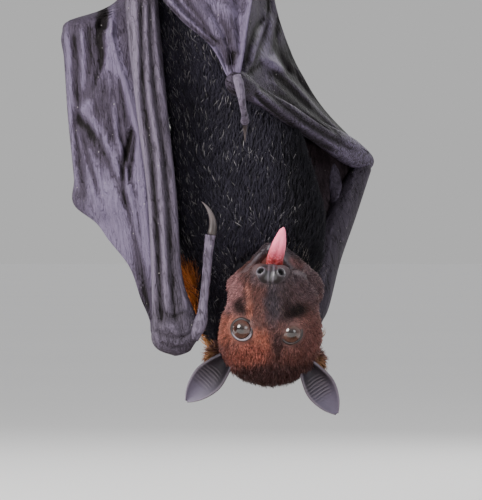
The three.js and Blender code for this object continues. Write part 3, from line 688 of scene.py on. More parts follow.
ears = []
for name in SIDES:
    steps_u, steps_v = 56, 14
    points, faces = leaf(ear_surface(name), lambda u, v: 1.15 - 0.5 * u, steps_u, steps_v)
    ear = mesh_piece(f"ear_skin_{name}", points, faces)
    u, v = (np.tile(part.ravel(), 2) for part in leaf_grid(steps_u, steps_v))
    u, q = u * (1 + EAR_ROOT) - EAR_ROOT, 2 * v - 1
    ribs = np.maximum(0, np.sin(2 * math.pi * (u + 0.03 * q * q) / 0.072)) * smooth_step(0.06, 0.12, u)
    ribs = ribs * smooth_step(0.66, 0.42, u) * smooth_step(0.86, 0.5, np.abs(q + 0.12))
    inside = normals_of(ear)[:, 1] < 0
    move_points(ear, points_of(ear) + normals_of(ear) * (1.1 * ribs * inside)[:, None])
    number_on_points(ear, "share", u)
    number_on_points(ear, "edge", np.abs(q))
    number_on_points(ear, "rib", ribs * inside)
    ears.append(ear)
ears = join("ears", *ears)
print("ears:", triangles(ears), "triangles")

# %% [markdown]
# ## Folds in wing skin
# A folded wing is thin skin gathered between long finger bones. The bones show as smooth
# ridges, the skin between them as hollows and pleats. Each fold is drawn as a path across the
# front of the wing, with a height and a width on each side, and the points near it move towards
# the viewer or away. Many fine wrinkles are then scattered along the same lines.

# %% Drawing folds


def fold_relief(points, folds, soft_ends=0.1):
    """Heights over a wing's front from folds (height, width left, width right, path in x, z)."""
    flat = points[:, [0, 2]]
    relief = np.zeros(len(points))
    for height, left, right, path in folds:
        gap, share, side = near_path(flat, path)
        width = np.where(side > 0, left, right)
        ends = smooth_step(0, soft_ends, share) * smooth_step(1, 1 - soft_ends, share)
        relief += 1.1 * height * np.exp(-((gap / width) ** 1.4)) * (0.15 + 0.85 * ends)
    return relief


def wrinkles(across, along, count, reach, size, seed):
    """Fine wrinkles on a skin with the places `across` in mm and `along` in mm."""
    chance = np.random.default_rng(seed)
    relief = np.zeros(len(across))
    for _ in range(count):
        start = chance.uniform(across.min(), across.max())
        middle = chance.uniform(along.min(), along.max())
        length = reach * chance.uniform(0.5, 1.6)
        drift, wave = chance.normal(0, 0.09), chance.uniform(0, 2 * math.pi)
        way = start + drift * (along - middle) + 0.8 * np.sin(along / 9 + wave)
        height = size * chance.choice([-1, 1]) * chance.uniform(0.4, 1)
        width = chance.uniform(0.45, 1.0)
        relief += (height * np.exp(-(((across - way) / width) ** 2))
                   * np.exp(-(((along - middle) / length) ** 2)))
    return relief


def raise_front(piece, relief, way=(0, -1, 0), full=0.5, tone=0):
    """Moves the points that face `way` by the relief, and keeps it for the finish, plus a tone; the finish
    paints the relief as shade in hollows and highlight on ridges.
    """
    front = smooth_step(0, full, normals_of(piece) @ unit(way))
    move_points(piece, points_of(piece) + np.array(unit(way)) * (relief * front)[:, None])
    number_on_points(piece, "relief", relief * front + tone)


# %% [markdown]
# ## The folded left wing
# The folded arm is a long packet. At every height its section is a rounded triangle: the
# fingers in front, the outer edge of the skin, and the back. Rings of that section are stacked
# from the wrist at the bottom up to the ankle.

# %% Left arm packet
FOREARM_LEFT = {"elbow": (-92, -2, 277), "wrist": (-38, -42, 110)}
LEFT_OUTER_X = profile(
    (106, -42), (114, -51), (121, -52), (133, -57), (152, -64.5), (166, -76), (175, -83),
    (183, -94), (199, -95.5), (234, -99), (266, -101), (279, -102), (286, -98), (291, -82),
    (320, -76), (360, -67), (412, -54))
LEFT_OUTER_Y = profile((106, -42), (150, -26), (185, -8), (288, -4), (340, 2), (412, 14))
LEFT_INNER_X = profile((106, -38), (125, -41), (160, -44), (288, -58), (412, -50))
LEFT_FRONT_Y = profile((106, -44), (125, -39), (200, -34), (288, -24), (350, -2), (412, 12))
LEFT_BACK_X = profile((106, -40), (140, -42), (240, -42), (288, -52), (350, -58), (412, -51))
LEFT_BACK_Y = profile((106, -40), (140, -14), (185, 16), (240, 24), (300, 21), (412, 18))
FRONT_STEPS, OUTER_STEPS, INNER_STEPS = 62, 22, 12
z = np.linspace(107, 412, 200)
outer = np.stack([LEFT_OUTER_X(z), LEFT_OUTER_Y(z), z], axis=1)
inner = np.stack([LEFT_INNER_X(z), LEFT_FRONT_Y(z), z], axis=1)
rear = np.stack([LEFT_BACK_X(z), LEFT_BACK_Y(z), z], axis=1)
size = np.linalg.norm(outer - inner, axis=1)
level = (z - FOREARM_LEFT["wrist"][2]) / (FOREARM_LEFT["elbow"][2] - FOREARM_LEFT["wrist"][2])
arm_x = FOREARM_LEFT["wrist"][0] + level * (FOREARM_LEFT["elbow"][0] - FOREARM_LEFT["wrist"][0])


def packet_side(start, end, count, swell):
    t = (np.arange(count) / count)[None, :, None]
    points = start[:, None] * (1 - t) + end[:, None] * t
    points[..., 1] += swell[:, None] * np.sin(math.pi * t[..., 0])
    return points


rings = np.concatenate([
    packet_side(inner, outer, FRONT_STEPS, -0.08 * size),
    packet_side(outer, rear, OUTER_STEPS, 0.1 * size),
    packet_side(rear, inner, INNER_STEPS, 0 * size),
], axis=1)
forearm = np.exp(-(((rings[..., 0] - arm_x[:, None]) / 7) ** 2))
rings[:, :FRONT_STEPS, 1] -= (np.minimum(2.4, 0.05 * size)[:, None] * forearm)[:, :FRONT_STEPS]
for _ in range(5):
    rings = (np.roll(rings, 1, axis=1) + 2 * rings + np.roll(rings, -1, axis=1)) / 4
left_arm = mesh_piece("left_arm_skin", *close_rings(rings))

LEFT_FOLDS = [
    (2.6, 2.2, 3.0, [(-73, 296), (-73, 288), (-72.3, 273), (-69.8, 264.7), (-64.8, 249.7),
                     (-60.5, 233.5), (-58, 216), (-54.9, 192), (-53, 171), (-51, 146)]),
    (-3.6, 1.2, 1.5, [(-60.5, 229), (-64, 214.8), (-66.4, 203.6), (-66.1, 192), (-64, 180)]),
    (-2.4, 0.9, 1.0, [(-59.4, 225), (-60.6, 214), (-62.6, 203), (-63.4, 194)]),
    (-5.0, 2.4, 2.4, [(-78.5, 296), (-76.8, 289), (-77.6, 280)]),
    (2.0, 1.5, 1.5, [(-79, 299), (-74.4, 292), (-72.8, 284), (-73.4, 275)]),
    (1.9, 3.0, 2.2, [(-72.3, 271), (-76.7, 259.7), (-82.3, 248.5), (-87.3, 238.5), (-90, 234)]),
    (-2.2, 2.6, 1.8, [(-78, 290), (-80.4, 277), (-78.6, 264.7), (-80.2, 254.7), (-84, 246), (-87, 240)]),
    (1.6, 2.0, 2.0, [(-97.3, 281), (-96.2, 258.5), (-95.8, 236), (-94, 212), (-92, 190)]),
    (-1.5, 1.3, 1.6, [(-93.6, 281), (-92.4, 262), (-92, 244), (-90.4, 226)]),
    (1.2, 1.8, 1.8, [(-89.6, 282), (-88.4, 262), (-88.8, 246)]),
    (-1.2, 1.4, 1.4, [(-85.6, 284), (-84.4, 268), (-85.2, 254)]),
    (-1.3, 1.4, 2.0, [(-94.4, 233), (-90.6, 208), (-87.6, 186)]),
    (1.2, 1.8, 1.6, [(-92.3, 228.5), (-87.3, 208.5), (-81.1, 186), (-76, 173.6)]),
    (-1.5, 1.3, 1.9, [(-90, 226), (-84.6, 206), (-78.4, 187), (-72.6, 171), (-68, 160)]),
    (1.0, 1.6, 1.6, [(-86.6, 219), (-80.3, 201), (-74.1, 181), (-67.8, 166)]),
    (-1.8, 1.3, 2.6, [(-96.7, 237), (-89.8, 231), (-81, 220), (-73.6, 206), (-65.4, 186), (-57, 152),
                      (-51, 120)]),
    (1.3, 1.7, 2.4, [(-94, 240), (-87, 234.5), (-78, 223.6), (-70.8, 208), (-63, 188)]),
    (-1.4, 1.6, 1.4, [(-68.6, 256), (-66.1, 240), (-63.8, 226)]),
    (-1.0, 1.2, 1.4, [(-74.8, 243), (-73, 226), (-68.6, 208.5), (-64.2, 190), (-60.6, 172)]),
    (0.9, 1.4, 1.2, [(-71.8, 240), (-69.4, 222), (-65.6, 206), (-62, 188)]),
    (-0.9, 1.0, 1.2, [(-68.6, 236), (-66.6, 219), (-61.6, 200), (-58.6, 180), (-56.4, 160)]),
    (2.4, 2.8, 2.0, [(-80, 292), (-76, 302), (-72, 322), (-66, 352), (-58, 388)]),
    (-1.8, 1.6, 2.0, [(-73, 298), (-70, 320), (-64, 350), (-57, 384)]),
    (1.6, 2.2, 1.8, [(-67, 300), (-65, 324), (-60.6, 352), (-55, 386)]),
]
points = points_of(left_arm)
across = (points[:, 0] - LEFT_INNER_X(points[:, 2]))
fine = wrinkles(across * 1.0, points[:, 2], 260, 24, 0.40, seed=11)
fine *= smooth_step(-4, -12, across) * (0.35 + 0.65 * smooth_step(180, 215, points[:, 2]))
crumple_zone = np.exp(-((points[:, 0] + 76) / 13) ** 2 - ((points[:, 2] - 222) / 24) ** 2)
fine += 0.9 * crumple_zone * (0.5 - np.abs(ripple(points * (1.5, 0, 0.8), 7, seed=14)))
smooth_skin = np.exp(-((points[:, 0] + 70) / 14) ** 2 - ((points[:, 2] - 176) / 26) ** 2)
relief = fold_relief(points, LEFT_FOLDS) * (1 - 0.5 * smooth_skin) + fine * (1 - 0.6 * smooth_skin)
raise_front(left_arm, relief, tone=2.6 * smooth_skin)
print("left arm packet:", triangles(left_arm), "triangles")

# %% [markdown]
# ## The left hand
# The long bones of the third, fourth and fifth fingers lie side by side in front of the packet,
# from the wrist up. They are one loft with the bones drawn on it as ridges. The wrist is its
# thick lower end, where the skin is wrinkled like a glove's.

# %% Left hand
LEFT_HAND = [
    (-34, -45, 104.5, 5, 4), (-36.5, -47, 112, 13.6, 7.5), (-38.5, -48, 123, 12, 7.5),
    (-42.3, -47, 145, 8.5, 7), (-45, -45.5, 190, 8, 6.5), (-50.5, -43, 236, 8.5, 6.5),
    (-56, -34, 292, 9, 6), (-57, -20, 330, 7.4, 5.5), (-53, 0, 378, 4.2, 4), (-50, 8, 412, 2.4, 2.4),
]
left_hand = mesh_piece("left_hand_skin", *loft(LEFT_HAND, around=46, along=170))
HAND_FOLDS = [
    (1.7, 1.8, 2.0, [(-59.4, 300), (-58.4, 270), (-58.4, 240), (-55.4, 218), (-53, 196), (-51.2, 171),
                     (-49.8, 148), (-49.6, 128)]),
    (1.1, 2.4, 2.4, [(-58.6, 246), (-58, 240), (-57, 234)]),
    (-2.2, 1.1, 1.5, [(-56.6, 300), (-55.8, 268), (-54.8, 243), (-51.6, 220), (-48.6, 186), (-46.4, 148),
                      (-45.4, 126), (-44, 114)]),
    (1.3, 1.6, 1.6, [(-53.6, 300), (-53.2, 266), (-51.6, 243), (-47.6, 218), (-45, 184), (-43, 146),
                     (-41.4, 124)]),
    (-1.7, 1.0, 1.3, [(-51.8, 300), (-50.6, 268), (-48.6, 244), (-44.4, 218), (-41.4, 184), (-39.2, 146),
                      (-37, 122), (-34, 112)]),
    (0.9, 1.4, 1.6, [(-49.8, 296), (-48.4, 272), (-45.4, 252), (-40.4, 224), (-37.8, 190), (-34.6, 150),
                     (-31, 124)]),
    (-0.8, 0.9, 1.1, [(-46.6, 128), (-40, 124), (-33, 126), (-27, 124)]),
    (-0.9, 0.9, 1.1, [(-49, 117), (-42, 113.6), (-34, 113), (-27, 117)]),
    (-0.7, 0.9, 1.0, [(-46, 110.6), (-40, 107.6), (-33, 107.4)]),
    (0.9, 2.2, 2.2, [(-46, 120), (-41, 118.6), (-36, 119)]),
]
points = points_of(left_hand)
fine = wrinkles(points[:, 0] * 1.4, points[:, 2], 90, 12, 0.26, seed=12)
knuckle = wrinkles(points[:, 2] * 1.1, points[:, 0], 30, 9, 0.36, seed=13)
knuckle *= smooth_step(132, 120, points[:, 2])
raise_front(left_hand, fold_relief(points, HAND_FOLDS, soft_ends=0.06) + fine + knuckle, tone=0.45)
print("left hand:", triangles(left_hand), "triangles")

# %% [markdown]
# ## The right wing
# The right wing is held forward to the belly. Its forearm slopes from the wrist in front down
# and back to the elbow. Three leaves of skin hang on it: the cloak from the forearm up to the
# ankle, the fan of the hand over the belly, and the flank between upper arm and back.

# %% Right wing leaves


CLOAK_EDGE = [(-1, -76, 251), (12, -45, 242.5), (34, 0, 233), (52, 40, 222.5), (68, 80, 213),
              (45, 72, 216), (12, 48, 222)]
CLOAK_TOP = [(3, -9, 412), (4, -6, 412), (6, -2, 412), (7, 4, 412), (7, 10, 412), (4, 16, 412),
             (0, 20, 412)]
CLOAK_DRAPE = profile((0, 1.15), (0.25, 2.6), (0.65, 3.9), (1, 3.4))
cloak_edge, cloak_top = line(CLOAK_EDGE), line(CLOAK_TOP)


def cloak_surface(u, v):
    low, high = cloak_edge(u), cloak_top(u)
    gather = 1 - (1 - v) ** CLOAK_DRAPE(u)
    pleat = 1.6 * np.sin(11 * math.pi * u) * np.sin(math.pi * np.minimum(1, v * 1.15))
    share = np.stack([gather, gather, v], axis=-1)
    outward = pleat[..., None] * np.array([0.9, 0.4, 0])
    return low * (1 - share) + high * share + outward


FAN_INNER = [(-9, -79, 252), (-17.5, -77, 268), (-34, -71, 283), (-46, -64, 297), (-54, -52, 315),
             (-47, -42, 338), (-32, -30, 366), (-18, -17, 394), (-13, -9, 412)]
FAN_OUTER = [(-3, -80, 252), (0, -78, 268), (2, -75, 283), (4.5, -71, 297), (10, -64, 322),
             (13, -54, 346), (7, -40, 370), (-4, -22, 394), (-7, -12, 412)]
fan_inner, fan_outer = line(FAN_INNER), line(FAN_OUTER)


def fan_surface(u, v):
    points = fan_inner(v) * (1 - u[..., None]) + fan_outer(v) * u[..., None]
    hold = np.sin(math.pi * np.minimum(1, v + 0.06))
    points[..., 1] -= (2.2 * np.cos(6 * math.pi * u) + 4 * np.sin(math.pi * u)) * hold
    return points


ARM_EDGE = [(43.5, 34, 140), (48.5, 50, 162), (57.5, 65, 184), (64, 75, 203), (66, 77, 215)]
BACK_EDGE = [(36, 26, 150), (33, 30, 170), (24, 35, 195), (12, 39, 217), (9, 38, 227)]
arm_edge, back_edge = line(ARM_EDGE), line(BACK_EDGE)


def flank_surface(u, v):
    points = arm_edge(v) * (1 - u[..., None]) + back_edge(v) * u[..., None]
    points[..., 1] += 4 * np.sin(math.pi * u) + 1.2 * np.sin(5 * math.pi * u)
    return points


cloak = mesh_piece("cloak_skin", *leaf(cloak_surface, 2.2, 92, 70))
fan = mesh_piece("fan_skin", *leaf(fan_surface, 2.0, 52, 92))
flank = mesh_piece("flank_skin", *leaf(flank_surface, 1.7, 26, 26))

FOREARM_RIGHT = {"elbow": np.array([68.5, 84, 210]), "wrist": np.array([-5.0, -80, 250])}
wrist, elbow = FOREARM_RIGHT["wrist"], FOREARM_RIGHT["elbow"]
right_forearm = mesh_piece("right_forearm_skin", *loft(limb(
    wrist, elbow, (-0.03, 3, 3), (0, 6, 6.5), (0.06, 6, 6.5), (0.2, 4.4, 5), (0.6, 5, 6.5),
    (0.85, 6, 8), (0.99, 5, 5.5), (1.02, 2.5, 2.5)), side=(1, -0.4, 0), around=36, along=110))
right_upper_arm = mesh_piece("right_upper_arm_skin", *loft([
    (39, 20, 119, 2.5, 5), (41.5, 24, 131, 5, 9), (46.5, 42, 158, 7, 11.5), (55.5, 60, 182, 7, 10),
    (66.5, 80, 207, 5, 6.5)], side=(1, -0.3, 0), around=30, along=44))
ARM_BONE = [(34, 16, 122, 2.6, 3), (37, 20, 132, 3.4, 4), (40.6, 27, 146, 4.0, 4.4),
            (46.4, 41, 164, 4.2, 4.6), (51.4, 55, 182, 4.0, 4.4), (50, 66, 198, 4.4, 4.6),
            (48, 70, 208, 3.6, 4)]
arm_bone = mesh_piece("arm_bone_skin", *loft(ARM_BONE, side=(1, -0.3, 0), around=18, along=40))

FAN_FOLDS = [
    (1.4, 1.3, 1.4, [(-52, 300), (-48, 294.3), (-38.2, 284.5), (-29, 276.8), (-22.3, 271.2), (-14, 265)]),
    (-1.4, 0.9, 1.0, [(-49, 303), (-44.6, 296), (-35.6, 286), (-27, 278.4), (-19.4, 271.6), (-14, 267)]),
    (1.0, 1.2, 1.2, [(-46, 303), (-42.3, 297), (-33.2, 286), (-25.4, 279.2), (-17.7, 272.6), (-12, 268)]),
    (-1.2, 0.8, 0.9, [(-42.6, 303), (-38, 296), (-30.6, 287.4), (-23, 279.6), (-16.8, 273), (-12, 270)]),
    (0.9, 1.1, 1.2, [(-39, 303), (-35, 295), (-28, 286.4), (-21, 279), (-15, 273)]),
    (-1.6, 1.0, 1.5, [(-35, 302), (-31.6, 294.3), (-26.9, 288), (-22.3, 281.6), (-17.2, 274), (-13, 268)]),
    (1.0, 2.2, 2.4, [(-22.3, 296), (-17, 292.4), (-12, 289.4), (-5, 285.6), (-0.2, 283)]),
    (2.0, 1.7, 1.5, [(4.6, 306), (3.2, 293), (0.8, 281), (-1.4, 269.6), (-2.9, 260), (-4, 252)]),
    (1.8, 1.8, 1.6, [(-16.4, 270), (-14.6, 263.5), (-11.4, 257.4), (-7, 251)]),
    (-2.2, 2.4, 2.2, [(-5.2, 267), (-7, 262.6), (-8.2, 258.4)]),
    (-0.9, 1.6, 2.0, [(-12.6, 284), (-9.4, 276), (-8.6, 270)]),
    (0.8, 2.8, 2.8, [(-19, 286), (-15, 279), (-12.4, 273)]),
]
points = points_of(fan)
fine = wrinkles(points[:, 0], points[:, 2], 70, 12, 0.2, seed=21)
raise_front(fan, fold_relief(points, FAN_FOLDS, soft_ends=0.06) + fine, tone=0.5)

CLOAK_FOLDS = [
    (-2.4, 0.9, 1.3, [(13, 300), (12.6, 289.7), (6.6, 280.9), (3.0, 271), (0.8, 258.3)]),
    (1.6, 1.2, 1.2, [(12.4, 292), (9.2, 281), (6.0, 271), (3.2, 259)]),
    (-1.8, 0.9, 1.1, [(13.2, 288), (10.2, 276), (6.8, 265.5), (2.4, 254.2)]),
    (1.2, 3.0, 3.0, [(15, 288), (12.4, 276), (9.6, 266)]),
    (-1.8, 1.1, 1.3, [(9.4, 261.6), (5.6, 257.3), (1.6, 253.4)]),
    (1.9, 2.2, 1.4, [(8, 264.5), (11.6, 262.6), (15, 260.5), (19, 259)]),
    (2.0, 2.2, 1.8, [(14.7, 267), (17.6, 262.4), (21.6, 257.6)]),
    (-2.2, 1.5, 1.8, [(19.6, 290), (17.4, 279), (17, 271), (20.4, 264.6), (25.6, 257.4)]),
    (2.4, 1.5, 2.0, [(11, 266), (20, 257), (31, 246.5), (43, 235), (55, 224), (65, 215)]),
    (-2.0, 1.1, 1.6, [(14, 259), (23, 250), (34, 240), (46, 229.6), (58, 219.6)]),
    (1.4, 1.1, 1.4, [(12, 254), (22, 245.4), (34, 236), (46, 227), (58, 218)]),
    (-1.8, 1.2, 1.5, [(22, 262), (33, 250.6), (45, 238), (57, 225.6), (65, 217.6)]),
    (1.3, 1.2, 1.6, [(25, 264), (36, 252), (47, 240), (58, 228), (66, 219)]),
    (-1.3, 1.2, 1.6, [(27, 269), (38, 256), (48, 244), (59, 231.6)]),
]
points = points_of(cloak)
fine = wrinkles(points[:, 1] * 0.8, points[:, 2], 120, 26, 0.35, seed=22)
shadow = smooth_step(272, 256, points[:, 2] - 0.35 * points[:, 0]) * smooth_step(10, 24, points[:, 0])
raise_front(cloak, fold_relief(points, CLOAK_FOLDS, soft_ends=0.06) + fine, way=(0.25, -0.97, 0), full=0.3,
            tone=-2.4 * shadow)

FOREARM_FOLDS = [
    (1.5, 1.5, 1.3, [(3, 243), (11.4, 235), (20.3, 228.2), (29.2, 221.6), (37, 216.4), (44.8, 213.2),
                     (52, 211)]),
    (-1.4, 1.0, 1.0, [(4, 245), (12, 238), (21.4, 231), (31, 224.6), (41, 218.6), (50, 215)]),
    (1.0, 1.1, 1.1, [(4.7, 247), (13, 240.4), (24.7, 231.8), (36.1, 225), (48, 218.6), (58, 214.4)]),
    (-1.1, 0.9, 1.0, [(6, 249), (15, 243), (27, 234.4), (38, 227.4), (50, 221), (60, 216)]),
    (0.9, 1.1, 1.1, [(8, 250.6), (17, 245), (29, 236.8), (40, 229.8), (52, 223)]),
    (-1.2, 1.4, 1.6, [(14, 251), (24, 243.6), (34, 236), (45, 229), (54, 222.6)]),
]
points = points_of(right_forearm)
along = (points - wrist) @ unit(elbow - wrist)
over = points[:, 2] - (wrist[2] + (elbow[2] - wrist[2]) * along / np.linalg.norm(elbow - wrist))
fine = wrinkles(over * 1.3, along, 90, 26, 0.28, seed=23)
raise_front(right_forearm, 1.3 * fold_relief(points, FOREARM_FOLDS, soft_ends=0.06) + fine,
            way=(0.3, -0.95, 0), tone=-0.35 + 1.4 * smooth_step(118, 150, along))
for piece, seed, tone in ((right_upper_arm, 24, -0.1), (flank, 25, 0.4), (arm_bone, 26, 0.6)):
    points = points_of(piece)
    slope = points[:, 0] - 0.27 * points[:, 2]
    raise_front(piece, wrinkles(slope * 1.2, points[:, 2], 70, 26, 0.7, seed=seed), tone=tone)
wings = [left_arm, left_hand, fan, cloak, right_forearm, right_upper_arm, flank, arm_bone]
print({piece.name: triangles(piece) for piece in wings})

# %% [markdown]
# ## Thumbs, shins and feet
# Each thumb is a slim bone in dark skin with one hooked claw. The shins are thin and bare. A
# foot goes up behind the perch, and its five toes come over the top and hold on from behind.

# %% Thumbs, shins and feet
THUMBS = {
    "left": [(-28, -51, 112, 3, 3), (-24, -53, 121, 3.6, 3.2), (-22.6, -53, 130, 2.5, 2.5),
             (-20.9, -53, 146, 2.4, 2.4), (-19.8, -53, 160, 2.6, 2.6), (-18.6, -53, 168, 3, 3)],
    "right": [(-4.5, -86, 253, 2.4, 2.4), (-3, -88.5, 247, 2.6, 2.6), (-1.6, -87, 239, 1.8, 1.8),
              (-0.3, -78, 232.5, 1.8, 1.8), (0, -67, 230, 1.9, 1.9), (0, -60, 229.5, 2.4, 2.4)],
}
TOES = 5
TOE_SPACING = 5.2


def over_perch(x, degrees, height):
    """A place on the perch: `degrees` up and over it from behind, `height` off the bark."""
    turn = math.radians(degrees)
    reach = PERCH_RADIUS + height
    return np.array([x, reach * math.cos(turn), PERCH_Z + reach * math.sin(turn)])


def station(place, wide, deep):
    return (*place, wide, deep)


def toe_x(side, toe, share):
    root = RUMP[0] - 3 + side * ANKLE_SPREAD
    return root + share * TOE_SPACING * (toe - (TOES - 1) / 2)


limbs = []
for name, side in SIDES.items():
    thumb = mesh_piece(f"thumb_skin_{name}", *loft(THUMBS[name], around=18, along=48))
    points = points_of(thumb)
    joints = ripple(points * (0.6, 0.6, 1.3), 5, seed=31 + side)
    move_points(thumb, points + normals_of(thumb) * (0.22 * joints)[:, None])
    hip, knee, ankle = leg_points(side)
    shin = limb(knee, ankle, (-0.05, 3, 3), (0.02, 6, 6), (0.3, 5, 5.5), (0.75, 3.4, 3.6), (0.99, 4, 4))
    limbs += [thumb, mesh_piece(f"shin_skin_{name}", *loft(shin, around=18, along=34))]
    sole_rows = [((ankle[0], 18.5, ANKLE_Z - 1), 4, 3.6), ((ankle[0], 18.6, ANKLE_Z + 5), 6, 3.4),
                 (over_perch(ankle[0], -20, 4.2), 9, 3), (over_perch(ankle[0], 2, 4), 10.5, 2.6)]
    sole = loft([station(*row) for row in sole_rows], around=24, along=14)
    parts = [mesh_piece("sole", *sole)]
    for toe in range(TOES):
        rows = [(0.5, -35, 4, 3, 2.4), (0.8, 5, 3.6, 2.6, 2.4), (1, 48, 3.2, 2.2, 2.2),
                (1.05, 88, 3.3, 2.3, 2.2), (1.05, 104, 3.4, 1.8, 1.8)]
        stations = [station(over_perch(toe_x(side, toe, share), turn, height), wide, deep)
                    for share, turn, height, wide, deep in rows]
        points, faces = loft(stations, around=12, along=20)
        parts.append(mesh_piece("toe", points, faces))
    limbs.append(join(f"foot_skin_{name}", *parts))
print({piece.name: triangles(piece) for piece in limbs})

# %% [markdown]
# ## Claws
# A claw is a horn hook, wide and flat-sided at its root and sharp at its tip. One claw is
# modelled by hand from a circle of eight points, extruded along its curve and made narrower at
# each step. Every other claw is a copy, carried to its own place and size.

# %% One claw, copied
CLAW_STEPS = 9
CLAW_BEND = math.radians(76)


def model_claw():
    """A claw of length about 1, rooted at the origin, that sets off along +Z and hooks to +Y."""
    bpy.ops.mesh.primitive_circle_add(vertices=10, radius=0.125, fill_type="NGON")
    bpy.ops.object.mode_set(mode="EDIT")
    bpy.ops.transform.resize(value=(0.8, 1.15, 1))
    place, bend = np.zeros(3), CLAW_BEND / CLAW_STEPS
    width = [1 - (step / (CLAW_STEPS + 0.25)) ** 1.5 for step in range(CLAW_STEPS + 1)]
    for step in range(1, CLAW_STEPS + 1):
        move = 1.15 / CLAW_STEPS * np.array([0, math.sin(bend * step), math.cos(bend * step)])
        place = place + move
        bpy.ops.mesh.extrude_region_move(TRANSFORM_OT_translate={"value": tuple(move)})
        slim = width[step] / width[step - 1]
        chosen = bmesh.from_edit_mesh(bpy.context.object.data)
        spin = Matrix.Rotation(-bend, 3, "X")
        for vertex in (v for v in chosen.verts if v.select):
            vertex.co = Vector(place) + spin @ ((vertex.co - Vector(place)) * slim)
        bmesh.update_edit_mesh(bpy.context.object.data)
    bpy.ops.mesh.select_all(action="SELECT")
    bpy.ops.mesh.normals_make_consistent(inside=False)
    bpy.ops.object.mode_set(mode="OBJECT")
    claw = bpy.context.object
    apply_modifier(claw, "SUBSURF", levels=1, render_levels=1)
    claw.data.shade_smooth()
    return claw


first_claw = model_claw()
claw_shape = points_of(first_claw) * MM


def place_claw(name, root, way, hook, length):
    """A copy of the claw rooted at `root`, setting off along `way` and hooking to `hook`."""
    claw = first_claw.copy()
    claw.data = first_claw.data.copy()
    claw.name = claw.data.name = name
    bpy.context.collection.objects.link(claw)
    ahead = unit(way)
    bend = unit(np.array(hook) - ahead * (np.array(hook) @ ahead))
    side = np.cross(bend, ahead)
    move_points(claw, np.array(root) + length * claw_shape @ np.stack([side, bend, ahead]))
    number_on_points(claw, "share", np.clip(claw_shape[:, 1] + claw_shape[:, 2], 0, 1.3) / 1.3)
    return claw


claws = {
    "thumb_claw_left": place_claw(
        "claw_thumb_left", (-18.6, -53, 167.2), (0.46, 0, 0.89), (-1, 0, 0.1), 18.5),
    "thumb_claw_right": place_claw("claw_thumb_right", (0, -61.5, 229.2), (0, 1, 0.18), (0, 0.1, -1), 20),
}
for name, side in SIDES.items():
    for toe in range(TOES):
        root = over_perch(toe_x(side, toe, 1.05), 101, 3.5)
        claws[f"toe_claw_{name}_{toe + 1}"] = place_claw(
            f"claw_toe_{name}_{toe + 1}", root, (0, -0.97, 0.1), (0, -0.2, -1), 12.5)
bpy.data.objects.remove(first_claw)
print(len(claws), "claws of", triangles(claws["thumb_claw_left"]), "triangles")

# %% [markdown]
# ## The perch
# The perch is a cut length of branch with two stubs where twigs were. A cylinder is added at
# its size, cut along its length, and roughened by waves that run with the grain, with knots
# where the stubs leave. The sawn ends are inset, so that they keep a sharp rim.

# %% Perch
perch_length = (perch_high - perch_low)[0]
STUBS = [[(78, -4, 453, 5.5, 5.5), (80, -5.2, 458, 5.2, 5.2), (83, -7, 466.5, 4.2, 4.2),
          (83.1, -7.1, 467, 3.6, 3.6)],
         [(-96, 4, 451, 4.6, 4.6), (-98, 6.4, 457, 4.2, 4.2), (-100, 9, 464.4, 3.2, 3.2),
          (-100, 9.1, 465, 2.7, 2.7)]]
bpy.ops.mesh.primitive_cylinder_add(
    vertices=64, radius=(PERCH_RADIUS - 0.6) * MM, depth=perch_length * MM,
    location=(0, 0, PERCH_Z * MM), rotation=(0, math.pi / 2, 0), end_fill_type="NGON")
perch = bpy.context.object
perch.name = perch.data.name = "perch_bark"
bpy.ops.object.transform_apply(location=True, rotation=True, scale=True)
built = bmesh.new()
built.from_mesh(perch.data)
ends = [face for face in built.faces if len(face.verts) > 4]
bmesh.ops.inset_region(built, faces=ends, thickness=1.6 * MM, use_even_offset=True)
long_edges = [edge for edge in built.edges if edge.calc_length() > 0.5 * perch_length * MM]
bmesh.ops.subdivide_edges(built, edges=long_edges, cuts=130, use_grid_fill=False)
built.to_mesh(perch.data)
built.free()
points = points_of(perch)
angle = np.arctan2(points[:, 2] - PERCH_Z, points[:, 1])
outward = unit(points * (0, 1, 1) - (0, 0, PERCH_Z))
skin = np.linalg.norm(points[:, 1:] - (0, PERCH_Z), axis=1) > PERCH_RADIUS - 1.4
wave = 0.5 * np.sin(2 * angle + points[:, 0] / 30) + 0.4 * np.sin(3 * angle - points[:, 0] / 50)
grain = np.c_[points[:, 0] / 26, 11 * np.cos(angle) / 2.4, 11 * np.sin(angle) / 2.4]
cracks = -0.75 * np.exp(-((ripple(grain, 5.5, seed=41) / 0.16) ** 2)) + 0.3 * ripple(grain, 2.4, seed=42)
for stub in STUBS:
    gap = np.linalg.norm(points - stub[0][:3], axis=1)
    cracks += 1.3 * np.exp(-((gap - 7) / 4) ** 2)
move_points(perch, points + outward * ((wave + cracks) * skin)[:, None])
stubs = []
for stub in STUBS:
    twig = mesh_piece("stub", *loft(stub, around=28, along=26))
    rough = 0.35 * ripple(points_of(twig) * (1, 1, 0.3), 4, seed=43)
    move_points(twig, points_of(twig) + normals_of(twig) * rough[:, None])
    stubs.append(twig)
perch.data.shade_smooth()
perch = join("perch_bark", perch, *stubs)
from_axis = np.linalg.norm(points_of(perch)[:, 1:] - (0, PERCH_Z), axis=1)
at_end = np.abs(points_of(perch)[:, 0]) > perch_length / 2 - 0.2
number_on_points(perch, "sawn", at_end * smooth_step(PERCH_RADIUS - 1.8, PERCH_RADIUS - 2.6, from_axis))
print("perch:", triangles(perch), "triangles")

# %% [markdown]
# ## A small language for finishes
# A finish is a graph of shader nodes. Writing it by hand hides the idea, so a socket is wrapped
# in a class that understands plus, minus and times: `0.5 + 0.2 * spots` adds its Math nodes.
# Every other node comes from one method, which takes its type, settings and values.

# %% Sockets that do maths


